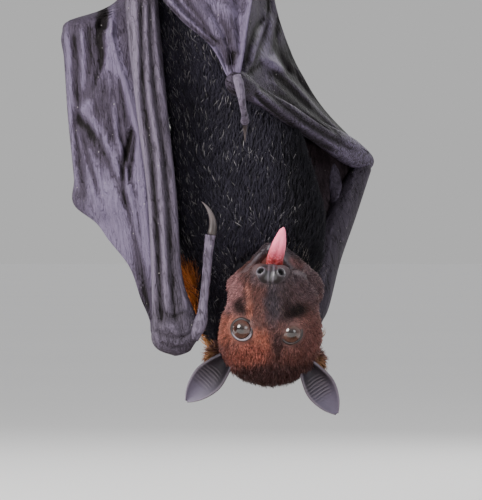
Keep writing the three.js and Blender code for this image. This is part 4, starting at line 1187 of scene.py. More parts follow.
class Socket:
    """A shader socket whose arithmetic adds Math nodes to its finish."""

    def __init__(self, finish, socket):
        self.finish, self.socket = finish, socket

    def maths(self, operation, *values):
        inputs = dict(enumerate(values))
        return self.finish.node("ShaderNodeMath", {"operation": operation}, inputs)

    def __add__(self, other):
        return self.maths("ADD", self, other)

    def __radd__(self, other):
        return self.maths("ADD", other, self)

    def __sub__(self, other):
        return self.maths("SUBTRACT", self, other)

    def __rsub__(self, other):
        return self.maths("SUBTRACT", other, self)

    def __mul__(self, other):
        return self.maths("MULTIPLY", self, other)

    def __rmul__(self, other):
        return self.maths("MULTIPLY", other, self)

    def __abs__(self):
        return self.maths("ABSOLUTE", self)

    def between(self, low, high):
        """From 0 at `low` to 1 at `high`, held outside them."""
        return self.finish.node("ShaderNodeMapRange", {"interpolation_type": "SMOOTHSTEP"},
                                {"Value": self, "From Min": low, "From Max": high})


class Finish:
    """A material with one Principled shader, and short ways to feed it."""

    def __init__(self, name, **constants):
        self.material = bpy.data.materials.new(name)
        self.material.use_nodes = True
        self.nodes = self.material.node_tree.nodes
        self.links = self.material.node_tree.links
        self.shader = self.nodes["Principled BSDF"]
        for key, value in constants.items():
            self.shader.inputs[key.replace("_", " ")].default_value = value
        self.place = self.node("ShaderNodeTexCoord", {}, {}, "Object")

    def feed(self, socket, value):
        if isinstance(value, Socket):
            self.links.new(value.socket, socket)
        elif isinstance(value, tuple) and len(value) == 3 and socket.type == "RGBA":
            socket.default_value = (*value, 1)
        else:
            socket.default_value = value

    def node(self, kind, settings, inputs, output=0):
        node = self.nodes.new(kind)
        for key, value in settings.items():
            setattr(node, key, value)
        for key, value in inputs.items():
            self.feed(node.inputs[key], value)
        return Socket(self, node.outputs[output])

    def number(self, name):
        return self.node("ShaderNodeAttribute", {"attribute_name": name}, {}, "Fac")

    def colour(self, name):
        return self.node("ShaderNodeAttribute", {"attribute_name": name}, {}, "Color")

    def noise(self, size, detail=4.0, roughness=0.55, stretch=(1, 1, 1), turn=(0, 0, 0), distortion=0.0):
        """Noise whose features are about `size` millimetres across."""
        scale = tuple(size * MM / part for part in stretch)
        place = self.node("ShaderNodeMapping", {"vector_type": "TEXTURE"},
                          {"Vector": self.place, "Scale": scale, "Rotation": turn})
        return self.node("ShaderNodeTexNoise", {}, {
            "Vector": place, "Scale": 1.0, "Detail": detail, "Roughness": roughness,
            "Distortion": distortion})

    def cells(self, size, feature="F1", stretch=(1, 1, 1)):
        scale = tuple(part / (size * MM) for part in stretch)
        place = self.node("ShaderNodeMapping", {}, {"Vector": self.place, "Scale": scale})
        return self.node("ShaderNodeTexVoronoi", {"feature": feature}, {"Vector": place, "Scale": 1.0})

    def mix(self, share, first, second, blend="MIX"):
        return self.node("ShaderNodeMix", {"data_type": "RGBA", "blend_type": blend},
                         {0: share, 6: first, 7: second}, 2)

    def bump(self, height, depth, strength=1.0, under=None):
        """A bump of `depth` millimetres, over another bump if one is given."""
        inputs = {"Height": height, "Distance": depth * MM, "Strength": strength}
        if under is not None:
            inputs["Normal"] = under
        return self.node("ShaderNodeBump", {}, inputs)

    def finish(self, colour, roughness=None, normal=None):
        self.feed(self.shader.inputs["Base Color"], colour)
        if roughness is not None:
            self.feed(self.shader.inputs["Roughness"], roughness)
        if normal is not None:
            self.feed(self.shader.inputs["Normal"], normal)
        return self.material


def give(piece, material):
    piece.data.materials.clear()
    piece.data.materials.append(material)


print("finish language ready")

# %% [markdown]
# ## Wing skin
# Wing skin is dark grey with a mauve cast, leathery where it is folded. Ridges are painted paler as
# painted highlight, hollows are painted nearly black as painted shade, fine creases get thin dark
# lines of painted shade, and small pale flakes lie on it. The relief that the sculpting kept on the
# points tells the finish which is which.

# %% Wing skin finish
# The darkest colour is mostly painted shade in hollows and creases, the palest mostly painted highlight on
# ridges.
WING_DARK = (0.007, 0.005, 0.006)
WING_MIDDLE = (0.041, 0.031, 0.048)
WING_PALE = (0.125, 0.100, 0.160)


def wing_finish(name, pale=WING_PALE, middle=WING_MIDDLE, lean=-8, crease_shade=0.36):
    """Leathery skin whose fine creases lean by some degrees from upright, seen from in front, and get
    painted shade.
    """
    skin = Finish(name, Specular_IOR_Level=0.12)
    turn = (0, math.radians(lean), 0)
    relief = skin.number("relief")
    broad = skin.noise(38, detail=3)
    creased = skin.noise(2.6, detail=6, roughness=0.62, stretch=(1, 1, 0.3), turn=turn, distortion=0.6)
    pleats = skin.noise(3.4, detail=2, roughness=0.5, stretch=(1, 1, 0.13), turn=turn, distortion=0.5)
    finer = skin.noise(1.5, detail=2, roughness=0.5, stretch=(1, 1, 0.17), turn=turn, distortion=0.7)
    lines = 0.62 * abs(pleats - 0.5).between(0.0, 0.045) + 0.38 * abs(finer - 0.5).between(0.0, 0.06)
    grit = skin.noise(0.9, detail=3, roughness=0.7)
    # Painted shade and highlight: the kept relief darkens hollows and lightens ridges, and the crease lines
    # are painted darker.
    level = 0.48 - 0.9 * crease_shade + 0.27 * relief + 0.4 * (broad - 0.5) + 0.2 * (creased - 0.5)
    level = level + 0.25 * (grit - 0.5) + crease_shade * lines
    colour = skin.mix(level.between(0.0, 0.42), WING_DARK, middle)
    colour = skin.mix(level.between(0.42, 0.95), colour, pale)
    flakes = skin.cells(3.4).between(0.13, 0.08) * skin.noise(9, detail=2).between(0.55, 0.62)
    colour = skin.mix(flakes * 0.5, colour, (0.42, 0.39, 0.38))
    rough = 0.58 + 0.16 * (creased - 0.5) - 0.04 * relief
    normal = skin.bump(creased, 0.45, 0.9)
    normal = skin.bump(lines, 0.7, 0.8, under=normal)
    normal = skin.bump(skin.cells(1.1) + grit, 0.14, 0.7, under=normal)
    return skin.finish(colour, rough, normal)


wing_skin = wing_finish("wing_skin", crease_shade=0.3)
cloak_skin = wing_finish("cloak_skin", lean=-38, crease_shade=0.6)
forearm_skin = wing_finish("forearm_skin", lean=-61, crease_shade=0.75)
bone_skin = wing_finish("finger_skin", pale=(0.130, 0.106, 0.150), middle=(0.046, 0.037, 0.051))
# The flank under the right arm gets a darker copy of the wing skin, as painted shade for the wing's shadow
# there.
inner_skin_painted_shade = wing_finish("inner_wing_skin_painted_shade", pale=(0.060, 0.043, 0.052), middle=(0.019, 0.012, 0.015))
for piece, finish in zip(wings, (wing_skin, bone_skin, wing_skin, cloak_skin, forearm_skin,
                                 bone_skin, inner_skin_painted_shade, bone_skin)):
    give(piece, finish)
for piece in limbs:
    number_on_points(piece, "relief", 1.4 + 0.7 * ripple(points_of(piece), 6, seed=51))
    give(piece, bone_skin)
print("wing skin on", len(wings) + len(limbs), "pieces")

# %% [markdown]
# ## Bare skin of the face
# The nose is almost black and moist, with a paler rim round each nostril; the right rim is painted
# fainter as painted shade, a pale band by the middle groove is a painted highlight, and the nostril
# hollows are painted nearly black as painted shade. The lids have a pale grey edge that meets the
# eye, partly a painted highlight, fainter on the right eye as painted shade. The ears are thin grey
# skin with a mauve cast, darker inside.

# %% Nose, lid and ear finishes
moist = Finish("nose_skin", Specular_IOR_Level=0.6, Coat_Weight=0.25, Coat_Roughness=0.3)
pebbles = moist.cells(0.55)
# Painted shade and highlight: the rim value carries the painted highlight by the groove, and the nostril
# hollows are painted nearly black as shade.
colour = moist.mix(moist.number("rim") * 0.45, (0.014, 0.012, 0.014), (0.20, 0.17, 0.21))
colour = moist.mix(moist.number("hollow"), colour, (0.002, 0.002, 0.002))
nose_skin = moist.finish(colour, 0.36 + 0.15 * moist.noise(2, detail=3), moist.bump(pebbles, 0.1, 0.7))

lid_finish = Finish("lid_skin", Specular_IOR_Level=0.55)
edge = lid_finish.number("rim")
colour = lid_finish.mix(edge.between(0.25, 0.9), (0.014, 0.009, 0.009), (0.30, 0.26, 0.30))
colour = lid_finish.mix(lid_finish.noise(3, detail=3).between(0.5, 0.75) * 0.5, colour, (0.06, 0.035, 0.03))
lid_skin = lid_finish.finish(colour, 0.34 + 0.2 * lid_finish.noise(1.2), lid_finish.bump(
    lid_finish.noise(0.8, detail=3), 0.12, 0.6))

ear_finish = Finish("ear_skin", Specular_IOR_Level=0.35)
share, edge = ear_finish.number("share"), ear_finish.number("edge")
tone = share.between(0.1, 0.75) * 0.7 + 0.3 * ear_finish.noise(7, detail=4)
colour = ear_finish.mix(tone, (0.010, 0.007, 0.008), (0.112, 0.094, 0.140))
colour = ear_finish.mix(ear_finish.number("rib") * 0.75, colour, (0.17, 0.14, 0.165))
colour = ear_finish.mix(edge.between(0.82, 1.0) * 0.45, colour, (0.26, 0.22, 0.27))
ear_skin = ear_finish.finish(colour, 0.5 + 0.2 * ear_finish.noise(2), ear_finish.bump(
    ear_finish.noise(1.1, detail=5), 0.2, 0.6))
give(nose, nose_skin)
give(lids, lid_skin)
give(ears, ear_skin)

# %% [markdown]
# ## Eyes, tongue and claws
# Iris and pupil are rings of colour drawn from the angle that each point makes with the gaze. A
# clear coat makes the ball wet. The tongue is pink, paler towards its tip. Horn is dark at the
# root and clearer at the point.

# %% Eye, tongue and claw finishes
wet = Finish("eye_wet", Roughness=0.2, Specular_IOR_Level=0.2, Coat_Weight=1.0, Coat_IOR=1.6,
             Coat_Roughness=0.07)
from_gaze = wet.number("from_gaze")
rays = wet.noise(1.1, detail=5, roughness=0.7)
colour = wet.mix(from_gaze.between(12, 30), (0.010, 0.005, 0.004), (0.050, 0.023, 0.017))
colour = wet.mix(from_gaze.between(24, 46) * (0.4 + 0.6 * rays), colour, (0.094, 0.046, 0.038))
colour = wet.mix(from_gaze.between(50, 56), colour, (0.012, 0.007, 0.007))
colour = wet.mix(from_gaze.between(59, 64), colour, (0.42, 0.38, 0.44))
eye_wet = wet.finish(colour)
for eyeball in eyeballs.values():
    give(eyeball, eye_wet)

licked = Finish("tongue_wet", Specular_IOR_Level=0.3, Subsurface_Weight=0.12, Subsurface_Scale=0.002,
                Coat_Weight=0.12, Coat_Roughness=0.25)
share = licked.number("share")
colour = licked.mix(share.between(0.3, 0.85), (0.27, 0.020, 0.014), (0.99, 0.22, 0.36))
colour = licked.mix(licked.noise(1.3, detail=4).between(0.45, 0.7) * 0.35, colour, (0.97, 0.33, 0.40))
tongue_wet = licked.finish(colour, 0.36 + 0.2 * licked.noise(1.6), licked.bump(
    licked.cells(0.5), 0.12, 0.6))
give(tongue, tongue_wet)

horn = Finish("claw_horn", Specular_IOR_Level=0.4, Coat_Weight=0.12, Coat_Roughness=0.3)
share = horn.number("share")
grain = horn.noise(1.0, detail=4, stretch=(1, 1, 0.25))
colour = horn.mix(share.between(0.1, 0.9), (0.024, 0.018, 0.018), (0.085, 0.068, 0.070))
colour = horn.mix(grain.between(0.4, 0.7) * 0.4, colour, (0.09, 0.065, 0.06))
claw_horn = horn.finish(colour, 0.28 + 0.2 * grain, horn.bump(grain, 0.1, 0.5))
for claw in claws.values():
    give(claw, claw_horn)

# %% [markdown]
# ## Perch, base and rods
# The perch has grey-brown bark, cracked along the grain, with pale sawn ends. The base is oiled
# walnut and the rods are brushed steel. These two keep the construction solids and only get
# their finishes.

# %% Stand finishes
bark_finish = Finish("bark", Specular_IOR_Level=0.3)
along = bark_finish.noise(5, detail=7, roughness=0.65, stretch=(0.16, 1, 1), distortion=0.4)
patches = bark_finish.noise(22, detail=4)
flakes = bark_finish.cells(4.5, "DISTANCE_TO_EDGE", stretch=(0.35, 1, 1))
colour = bark_finish.mix(along.between(0.3, 0.7), (0.055, 0.038, 0.027), (0.235, 0.185, 0.140))
colour = bark_finish.mix(patches.between(0.55, 0.7) * 0.5, colour, (0.22, 0.235, 0.19))
colour = bark_finish.mix(flakes.between(0.1, 0.0) * 0.6, colour, (0.03, 0.02, 0.015))
rings = bark_finish.node("ShaderNodeTexWave", {"wave_type": "RINGS", "rings_direction": "X"}, {
    "Vector": bark_finish.node("ShaderNodeMapping", {}, {
        "Vector": bark_finish.place, "Location": (0, 0, -PERCH_Z * MM)}),
    "Scale": 120.0, "Distortion": 1.5, "Detail": 2.0}, "Fac")
sawn_wood = bark_finish.mix(rings * 0.6, (0.50, 0.35, 0.20), (0.34, 0.21, 0.11))
colour = bark_finish.mix(bark_finish.number("sawn"), colour, sawn_wood)
bark = bark_finish.finish(colour, 0.86 - 0.1 * along, bark_finish.bump(
    flakes.between(0, 0.3), 0.5, 0.6, under=bark_finish.bump(along, 0.8, 0.8)))
give(perch, bark)

oiled = Finish("base_wood", Specular_IOR_Level=0.4, Coat_Weight=0.15, Coat_Roughness=0.3)
grain = oiled.noise(7, detail=8, roughness=0.6, stretch=(0.07, 1, 1), distortion=1.2)
bands = oiled.noise(30, detail=3, stretch=(0.12, 1, 1), distortion=0.6)
colour = oiled.mix(bands.between(0.35, 0.65), (0.060, 0.030, 0.016), (0.150, 0.080, 0.042))
colour = oiled.mix(grain.between(0.45, 0.6) * 0.6, colour, (0.040, 0.019, 0.010))
base_wood = oiled.finish(colour, 0.34 + 0.2 * grain, oiled.bump(grain, 0.12, 0.5))

steel = Finish("rod_steel", Metallic=1.0)
lines = steel.noise(1.5, detail=5, stretch=(6, 6, 0.05))
rod_steel = steel.finish(steel.mix(lines, (0.46, 0.46, 0.45), (0.60, 0.60, 0.59)),
                         0.26 + 0.2 * lines, steel.bump(lines, 0.03, 0.4))
for node, material in (("stand_base", base_wood), ("stand_rod_left", rod_steel),
                       ("stand_rod_right", rod_steel)):
    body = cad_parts[node]
    if not body.material_slots:
        body.data.materials.append(material)
    for slot in body.material_slots:
        slot.material = material
print("stand finished")

# %% [markdown]
# ## The markings
# Skin and fur share one set of markings, so a gap in the coat never shows a wrong colour. The
# body is black. The nape and the shoulders are a bright orange mantle. The face is rufous round
# the eyes and on the forehead, dark maroon on the crown and grey-brown on the muzzle.
# Light and shade are painted into these markings too: the black is lighter higher up and darker on the
# right flank, the face is paler on its left side and darker on its right, and the hollows in front of the
# eyes are painted nearly black as shade.

# %% Markings of body and face
BLACK = np.array([0.0255, 0.0225, 0.0350])
MANTLE = np.array([0.50, 0.150, 0.030])
MANTLE_GOLD = np.array([0.52, 0.265, 0.095])
CROWN = np.array([0.090, 0.040, 0.032])
CHEEK = np.array([0.160, 0.062, 0.044])
LIP = np.array([0.26, 0.225, 0.26])
MOUTH_RED = np.array([0.20, 0.045, 0.035])


def blend(first, second, share):
    return first + (second - first) * np.asarray(share)[..., None]


def body_markings(points):
    x, y, z = points.T
    uneven = 5 * ripple(points, 16, seed=61)
    front = smooth_step(-27, -21, x) * smooth_step(103, 112, z)
    behind = smooth_step(-14, -4, y + 0.5 * uneven - 30 * front)
    height = smooth_step(152, 142, z + 0.8 * uneven - 24 * smooth_step(8, 26, y))
    # Painted light and shade on the black: lighter higher up the body, darker on the right flank.
    painted_light_and_shade = (1 + 0.6 * smooth_step(225, 262, z)) * (1 - 0.65 * smooth_step(12, 28, x))
    colour = blend(painted_light_and_shade[:, None] * BLACK, MANTLE, behind * height)
    return blend(colour, MANTLE_GOLD, behind * height * smooth_step(124, 100, z + uneven) * 0.8)


# Patches of the face, seen from in front: middle aside and up, half sizes, tone and strength.
# Besides the face's own colours they hold painted light and shade: the left side's patches are
# paler as painted light, the right side's darker as painted shade, and the near-black ones beside
# the eyes are painted shade in the hollows there.
FACE_PATCHES_WITH_PAINTED_LIGHT = [
    ((2.0, 0.0), (34.0, 20.0), (0.200, 0.085, 0.062), 0.8),
    ((-24.0, -19.0), (9.0, 9.0), (0.400, 0.155, 0.115), 0.9),
    ((-19.0, 17.0), (7.5, 13.0), (0.600, 0.280, 0.230), 0.9),
    ((22.0, 22.0), (12.0, 14.0), (0.150, 0.088, 0.080), 0.92),
    ((-20.0, -3.0), (9.0, 8.0), (0.640, 0.215, 0.125), 0.95),
    ((-4.0, -8.5), (6.0, 7.0), (0.470, 0.148, 0.082), 0.95),
    ((-10.0, -15.0), (12.0, 6.0), (0.430, 0.130, 0.080), 0.95),
    ((24.0, -8.0), (7.0, 9.0), (0.240, 0.095, 0.070), 0.85),
    ((13.0, -15.0), (7.0, 5.0), (0.230, 0.085, 0.060), 0.7),
    ((6.0, -10.5), (2.8, 6.5), (0.070, 0.032, 0.027), 0.85),
    ((4.0, -30.0), (22.0, 9.0), (0.095, 0.045, 0.038), 0.8),
    ((8.5, 11.0), (7.5, 12.0), (0.105, 0.066, 0.060), 0.9),
    ((2.8, 12.5), (4.6, 13.5), (0.085, 0.062, 0.062), 0.95),
    ((4.0, 27.0), (14.0, 7.0), (0.120, 0.086, 0.082), 0.9),
    ((4.0, 40.0), (24.0, 8.0), (0.070, 0.050, 0.050), 0.95),
    ((-9.6, 8.0), (2.2, 5.5), (0.520, 0.185, 0.110), 0.9),
    ((-10.4, 16.0), (2.3, 6.5), (0.440, 0.170, 0.110), 0.85),
    ((-14.2, 9.6), (3.8, 5.2), (0.028, 0.012, 0.010), 0.95),
    ((-11.8, 14.5), (1.3, 5.5), (0.110, 0.045, 0.035), 0.8),
    ((15.4, 8.2), (7.4, 4.4), (0.014, 0.008, 0.007), 0.97),
    ((10.6, 9.5), (2.2, 5.0), (0.050, 0.026, 0.023), 0.8),
]


def face_markings(place):
    x, y, z = place.T
    seen = place @ HEAD_AXES
    uneven = ripple(place, 8, seed=62)
    colour = blend(np.tile(CROWN, (len(place), 1)), CHEEK, smooth_step(-22, -14, seen[:, 2] + 2 * uneven))
    front = smooth_step(22, 8, seen[:, 1])
    for (aside, up), (wide, high), tone, strength in FACE_PATCHES_WITH_PAINTED_LIGHT:
        reach = np.hypot((seen[:, 0] - aside) / wide, (seen[:, 2] - up) / high) + 0.16 * uneven
        colour = blend(colour, np.array(tone), strength * front * smooth_step(1.35, 0.45, reach))
    throat = smooth_step(-14, -22, z) * smooth_step(20, 6, y)
    colour = blend(colour, BLACK * 2, throat * smooth_step(0, -12, y) * 0.9)
    nape = smooth_step(-28, -38, y) * smooth_step(8, -2, z)
    # The blue lift is partly the fur's own mauve cast and partly a painted sheen.
    return blend(colour * (1.03, 1.10, 1.36), MANTLE, 0.45 * nape)


LIP_PINK, LIP_MAUVE = np.array([0.62, 0.26, 0.28]), np.array([0.36, 0.28, 0.30])
colour_on_points(trunk, "marks", body_markings(points_of(trunk)))
place = in_head(points_of(head))
skin_marks = face_markings(place)
layers = {key: np.empty(len(place)) for key in ("mouth", "lip")}
for key, values in layers.items():
    head.data.attributes[key].data.foreach_get("value", values)
skin_marks = blend(skin_marks, LIP, np.clip(layers["lip"], 0, 1) * 0.85)
upper_lip = smooth_step(-9.6, -11.6, place[:, 2]) * smooth_step(21, 26, place[:, 1])
upper_lip = upper_lip * smooth_step(-17, -15.5, place[:, 2])
skin_marks = blend(skin_marks, LIP * 0.7, upper_lip * 0.3)
gap, share, _ = near_path(place, [(10.5, 27.6, -22.0), (14.5, 25.2, -20.6), (18.2, 22.4, -19.0)])
skin_marks = blend(skin_marks, LIP_PINK, 0.9 * np.exp(-((gap / 1.5) ** 2)))
gap, share, _ = near_path(place, [(20.5, 25.0, -21.5), (21.5, 21.5, -20.0), (23.0, 17.0, -18.0)])
skin_marks = blend(skin_marks, LIP_MAUVE, 0.8 * np.exp(-((gap / 1.3) ** 2)))
skin_marks = blend(skin_marks, MOUTH_RED, layers["mouth"])
colour_on_points(head, "marks", skin_marks)

furred = Finish("skin_under_fur", Specular_IOR_Level=0.35)
fuzz = furred.noise(1.1, detail=5, roughness=0.7)
colour = furred.mix(0.35 + 0.4 * fuzz, furred.colour("marks"), (0.0, 0.0, 0.0), "MULTIPLY")
furred_skin = furred.finish(colour, 0.62 + 0.2 * fuzz, furred.bump(fuzz, 0.3, 0.6))
give(trunk, furred_skin)
give(head, furred_skin)
print("markings laid on", len(points_of(trunk)) + len(place), "points")

# %% [markdown]
# ## How the coat is made
# Fur can't be left as Blender's hair, which an export drops, so every tuft is a small solid
# spike of mesh. Roots are scattered evenly over the skin. Each spike starts just under the skin,
# rises a little and then lies along the body. All the spikes of one area are one mesh, built in
# a single step from arrays, and a second map places each tuft at its root on the unrolled skin.

# %% Roots and tufts
UV_PATCH = 0.003
LONG_TUFT = ((0.0, -0.1, 1.0), (0.4, 0.62, 0.95), (0.76, 0.95, 0.6))
SHORT_TUFT = ((0.0, -0.12, 1.0), (0.5, 0.75, 0.8))


def scatter(piece, gap):
    """Roots about `gap` millimetres apart: their places and normals."""
    mesh = piece.data
    mesh.calc_loop_triangles()
    corners = np.empty(3 * len(mesh.loop_triangles), np.int32)
    mesh.loop_triangles.foreach_get("vertices", corners)
    corners = corners.reshape(-1, 3)
    points, normals = points_of(piece)[corners], normals_of(piece)[corners]
    area = np.linalg.norm(np.cross(points[:, 1] - points[:, 0], points[:, 2] - points[:, 0]), axis=1) / 2
    total = np.cumsum(area)
    count = int(total[-1] / gap ** 2)
    pick = np.searchsorted(total, (np.arange(count) + CHANCE.uniform(size=count)) / count * total[-1])
    pick = np.minimum(pick, len(area) - 1)
    a, b = CHANCE.uniform(size=(2, count))
    over = a + b > 1
    a[over], b[over] = 1 - a[over], 1 - b[over]
    weights = np.stack([1 - a - b, a, b], axis=1)[..., None]
    return (points[pick] * weights).sum(axis=1), unit((normals[pick] * weights).sum(axis=1))


def tuft_faces(rings):
    """Triangles of one spike with a three-sided section."""
    faces = [(0, 2, 1)]
    for ring in range(rings - 1):
        for k in range(3):
            a, b = 3 * ring + k, 3 * ring + (k + 1) % 3
            faces += [(a, b, b + 3), (a, b + 3, a + 3)]
    last, tip = 3 * (rings - 1), 3 * rings
    return np.array(faces + [(last + k, last + (k + 1) % 3, tip) for k in range(3)])


def coat_piece(name, roots, normals, lie, length, width, lift, colours, unroll, shape=LONG_TUFT):
    """One area of fur. `colours` are the root's and the tip's, `unroll` each root's place."""
    count = len(roots)
    lie = unit(lie - normals * (lie * normals).sum(axis=1, keepdims=True))
    across = np.cross(normals, lie)
    length = (length * CHANCE.uniform(0.72, 1.25, count))[:, None]
    width = (width * CHANCE.uniform(0.75, 1.3, count))[:, None]
    lift = (lift * CHANCE.uniform(0.5, 1.4, count))[:, None]
    twist = CHANCE.normal(0, 0.12, count)[:, None]
    section = [(-0.5, 0.0), (0.5, 0.0), (0.0, 0.55)]
    points, shares = [], []
    for share, rise, wide in shape:
        middle = (roots + lie * length * share + across * length * twist * share ** 2
                  + normals * length * lift * rise)
        for aside, up in section:
            points.append(middle + across * width * wide * aside + normals * width * wide * up)
            shares.append(share)
    points.append(roots + (lie + across * twist) * length + normals * length * lift)
    shares.append(1.0)
    points = np.stack(points, axis=1)
    shares = np.array(shares)
    root_colour, tip_colour = colours
    tone = root_colour[:, None] + (tip_colour - root_colour)[:, None] * shares[None, :, None] ** 1.3
    pattern = tuft_faces(len(shape))
    each = points.shape[1]
    faces = (pattern[None] + each * np.arange(count)[:, None, None]).reshape(-1, 3)
    low, high = unroll.min(axis=0), unroll.max(axis=0)
    spot = 0.01 + 0.97 * (unroll - low) / (high - low)
    patch = np.stack([shares, np.linspace(0, 1, each)], axis=1) * UV_PATCH
    places = (spot[:, None] + patch[None]).reshape(-1, 2)

    mesh = bpy.data.meshes.new(name)
    mesh.vertices.add(count * each)
    mesh.vertices.foreach_set("co", (points * MM).ravel())
    mesh.loops.add(faces.size)
    mesh.loops.foreach_set("vertex_index", faces.ravel().astype(np.int32))
    mesh.polygons.add(len(faces))
    mesh.polygons.foreach_set("loop_start", np.arange(0, faces.size, 3, dtype=np.int32))
    mesh.update(calc_edges=True)
    mesh.uv_layers.new(name="OFBake").data.foreach_set("uv", places[faces.ravel()].ravel())
    piece = bpy.data.objects.new(name, mesh)
    bpy.context.collection.objects.link(piece)
    colour_on_points(piece, "marks", tone.reshape(-1, 3))
    mesh.shade_smooth()
    give(piece, fur)
    coat.append(piece)
    print(name, "has", count, "tufts and", len(faces), "triangles")


hair = Finish("fur", Specular_IOR_Level=0.2)
strand = hair.noise(0.8, detail=3)
colour = hair.mix(0.55 * strand, hair.colour("marks"), (0.55, 0.55, 0.55), "MULTIPLY")
fur = hair.finish(colour, 0.46 + 0.2 * strand)
coat = []

# %% [markdown]
# ## Fur of the body
# Body fur lies from the neck towards the rump, so on a hanging bat it runs upwards. It is long
# and soft on the mantle and shorter on the belly. A few hairs in the black are silver at their
# tips, which gives the belly its frosted look. The legs' fur follows the thighs.

# %% Body coat
SILVER = np.array([0.50, 0.47, 0.47])
BODY_GAP = 1.05
SKULL_Z, NECK_Z, CHEST_Z, RUMP_Z, THIGH_Z = 92, 142, 210, 290, 318


def inside_loft(points, stations, across, deep, along, share):
    """Whether points lie inside a loft whose sections are measured on the axes given."""
    rows = np.array(stations, float)
    rows = rows[np.argsort(rows[:, along])]
    here = points[:, along]
    part = [np.interp(here, rows[:, along], rows[:, k]) for k in (across, deep, 3, 4)]
    size = ((points[:, across] - part[0]) / part[2]) ** 2 + ((points[:, deep] - part[1]) / part[3]) ** 2
    return (size < share) & (here > rows[0, along]) & (here < rows[-1, along])


def in_skull(points, share):
    place = in_head(points)
    rows = on_muzzle_line(SKULL, 0), on_muzzle_line(JAW, 0)
    return inside_loft(place, rows[0], 0, 2, 1, share) | inside_loft(place, rows[1], 0, 2, 1, share)


def speckle(colour, points, share, tip, strength):
    """Tip colours: a share of the tufts is tipped with another colour."""
    chosen = CHANCE.uniform(size=len(points)) < share
    return blend(colour, tip, chosen * strength * CHANCE.uniform(0.4, 1, len(points)))


roots, normals = scatter(trunk, BODY_GAP)
hidden = in_skull(roots, 1.12) | (roots[:, 2] < SKULL_Z)
roots, normals = roots[~hidden], normals[~hidden]
leg = roots[:, 2] > THIGH_Z
lie = np.tile([0.0, 0.0, 1.0], (len(roots), 1))
lie[:, 0] += 0.45 * ripple(roots, 11, seed=71) + 0.28 * CHANCE.normal(size=len(roots))
lie[:, 1] += 0.45 * ripple(roots, 11, seed=72) + 0.28 * CHANCE.normal(size=len(roots))
marks = body_markings(roots)
orange = smooth_step(0.02, 0.2, marks[:, 0])
length = (6.4 + 3.0 * orange - 2.0 * leg) * (0.6 + 0.4 * smooth_step(SKULL_Z, 112, roots[:, 2]))
width = 0.50 + 0.16 * orange
lift = 0.26 + 0.05 * orange + 0.07 * ripple(roots, 9, seed=73)
shade = CHANCE.uniform(0.7, 1.3, len(roots))[:, None]
root_colour = marks * 0.55 * shade
tip_colour = marks * 1.35 * shade
frosted = smooth_step(0.0, 0.8, ripple(roots, 30, seed=77)) + smooth_step(-14, -34, roots[:, 0])
silver_share = (0.04 + 0.15 * np.clip(frosted, 0, 1)) * (1 - orange) * smooth_step(34, 18, roots[:, 0])
tip_colour = speckle(tip_colour, roots, silver_share, SILVER, 0.9)
silver = (tip_colour[:, 2] > 0.08) & (orange < 0.1)
length[silver] *= CHANCE.uniform(0.55, 0.95, silver.sum())
lie[silver] += CHANCE.normal(0, 0.3, (silver.sum(), 3))
turn = np.arctan2(roots[:, 0] + 5, -roots[:, 1])
unroll = np.c_[turn * 36, roots[:, 2]]
depth, height = roots[:, 1], roots[:, 2]
chest = (height >= NECK_Z) & (height < CHEST_Z)
belly = (height >= CHEST_Z) & (height < RUMP_Z)
areas = {
    "coat_neck": height < NECK_Z,
    "coat_chest_front": chest & (depth < 2),
    "coat_chest_back": chest & (depth >= 2),
    "coat_belly_front": belly & (depth < 4),
    "coat_belly_back": belly & (depth >= 4),
    "coat_rump_legs": height >= RUMP_Z,
}
for name, area in areas.items():
    coat_piece(name, roots[area], normals[area], lie[area], length[area], width[area], lift[area],
               (root_colour[area], tip_colour[area]), unroll[area])

# %% [markdown]
# ## Fur of the head
# Face fur lies back from the nose and parts round the eyes. It is a velvet of one or two
# millimetres on the muzzle, and grows to six or seven on the crown and the cheeks. Lids, lips,
# nose and mouth stay bare.

# %% Head coat
HEAD_GAP = 0.60
TAWNY = np.array([0.50, 0.34, 0.22])
roots, normals = scatter(head, HEAD_GAP)
place = in_head(roots)
facing = normals @ HEAD_AXES.T
hidden = inside_loft(roots, TRUNK, 0, 1, 2, 0.80)
to_eye = np.minimum(*(np.linalg.norm(place - EYE_AT[name], axis=1) for name in SIDES))
nearest = np.where(place[:, :1] < 0, EYE_AT["left"], EYE_AT["right"])
in_mouth = (np.abs(place[:, 0] - 1.5) < MOUTH_WIDTH(place[:, 1]) + 2.4) & (place[:, 2] < -13) & (
    place[:, 1] > 15) & (facing[:, 2] > -0.1) & (place[:, 2] > -26.5)
bare = (to_eye < 7.6) | (place[:, 1] > 34.6) | in_mouth
under_lip = (place[:, 1] > 21) & (place[:, 2] < -11.2) & (place[:, 2] > -16)
keep = ~(hidden | bare | under_lip)
roots, normals, place, to_eye, nearest = (part[keep] for part in (roots, normals, place, to_eye, nearest))
x, y, z = place.T
lie = np.tile([0.0, -1.0, 0.0], (len(roots), 1))
lie += 1.3 * unit(place - nearest) * np.exp(-((to_eye / 10) ** 2))[:, None]
lie[:, 2] -= 0.45 * smooth_step(14, 20, np.abs(x)) * smooth_step(12, -4, z)
lie[:, 0] += 0.30 * ripple(place, 9, seed=74) + 0.12 * CHANCE.normal(size=len(roots))
lie[:, 2] += 0.25 * ripple(place, 9, seed=75) + 0.12 * CHANCE.normal(size=len(roots))
lie = lie @ HEAD_AXES
back = smooth_step(22, -22, y)
length = 2.3 + 2.6 * back
length *= 0.5 + 0.5 * smooth_step(8, 16, to_eye)
width = 0.30 + 0.20 * back
lift = 0.27 + 0.05 * back + 0.05 * ripple(place, 6, seed=76)
marks = face_markings(place)
ear_base = np.minimum(*(np.linalg.norm(roots - np.array(root), axis=1) for root, tip in EARS.values()))
golden = smooth_step(15, 9, ear_base) * smooth_step(24.5, 28, np.abs(roots[:, 0] - 11.5))
marks = blend(marks, MANTLE_GOLD, 0.7 * golden)
length += 2.2 * golden
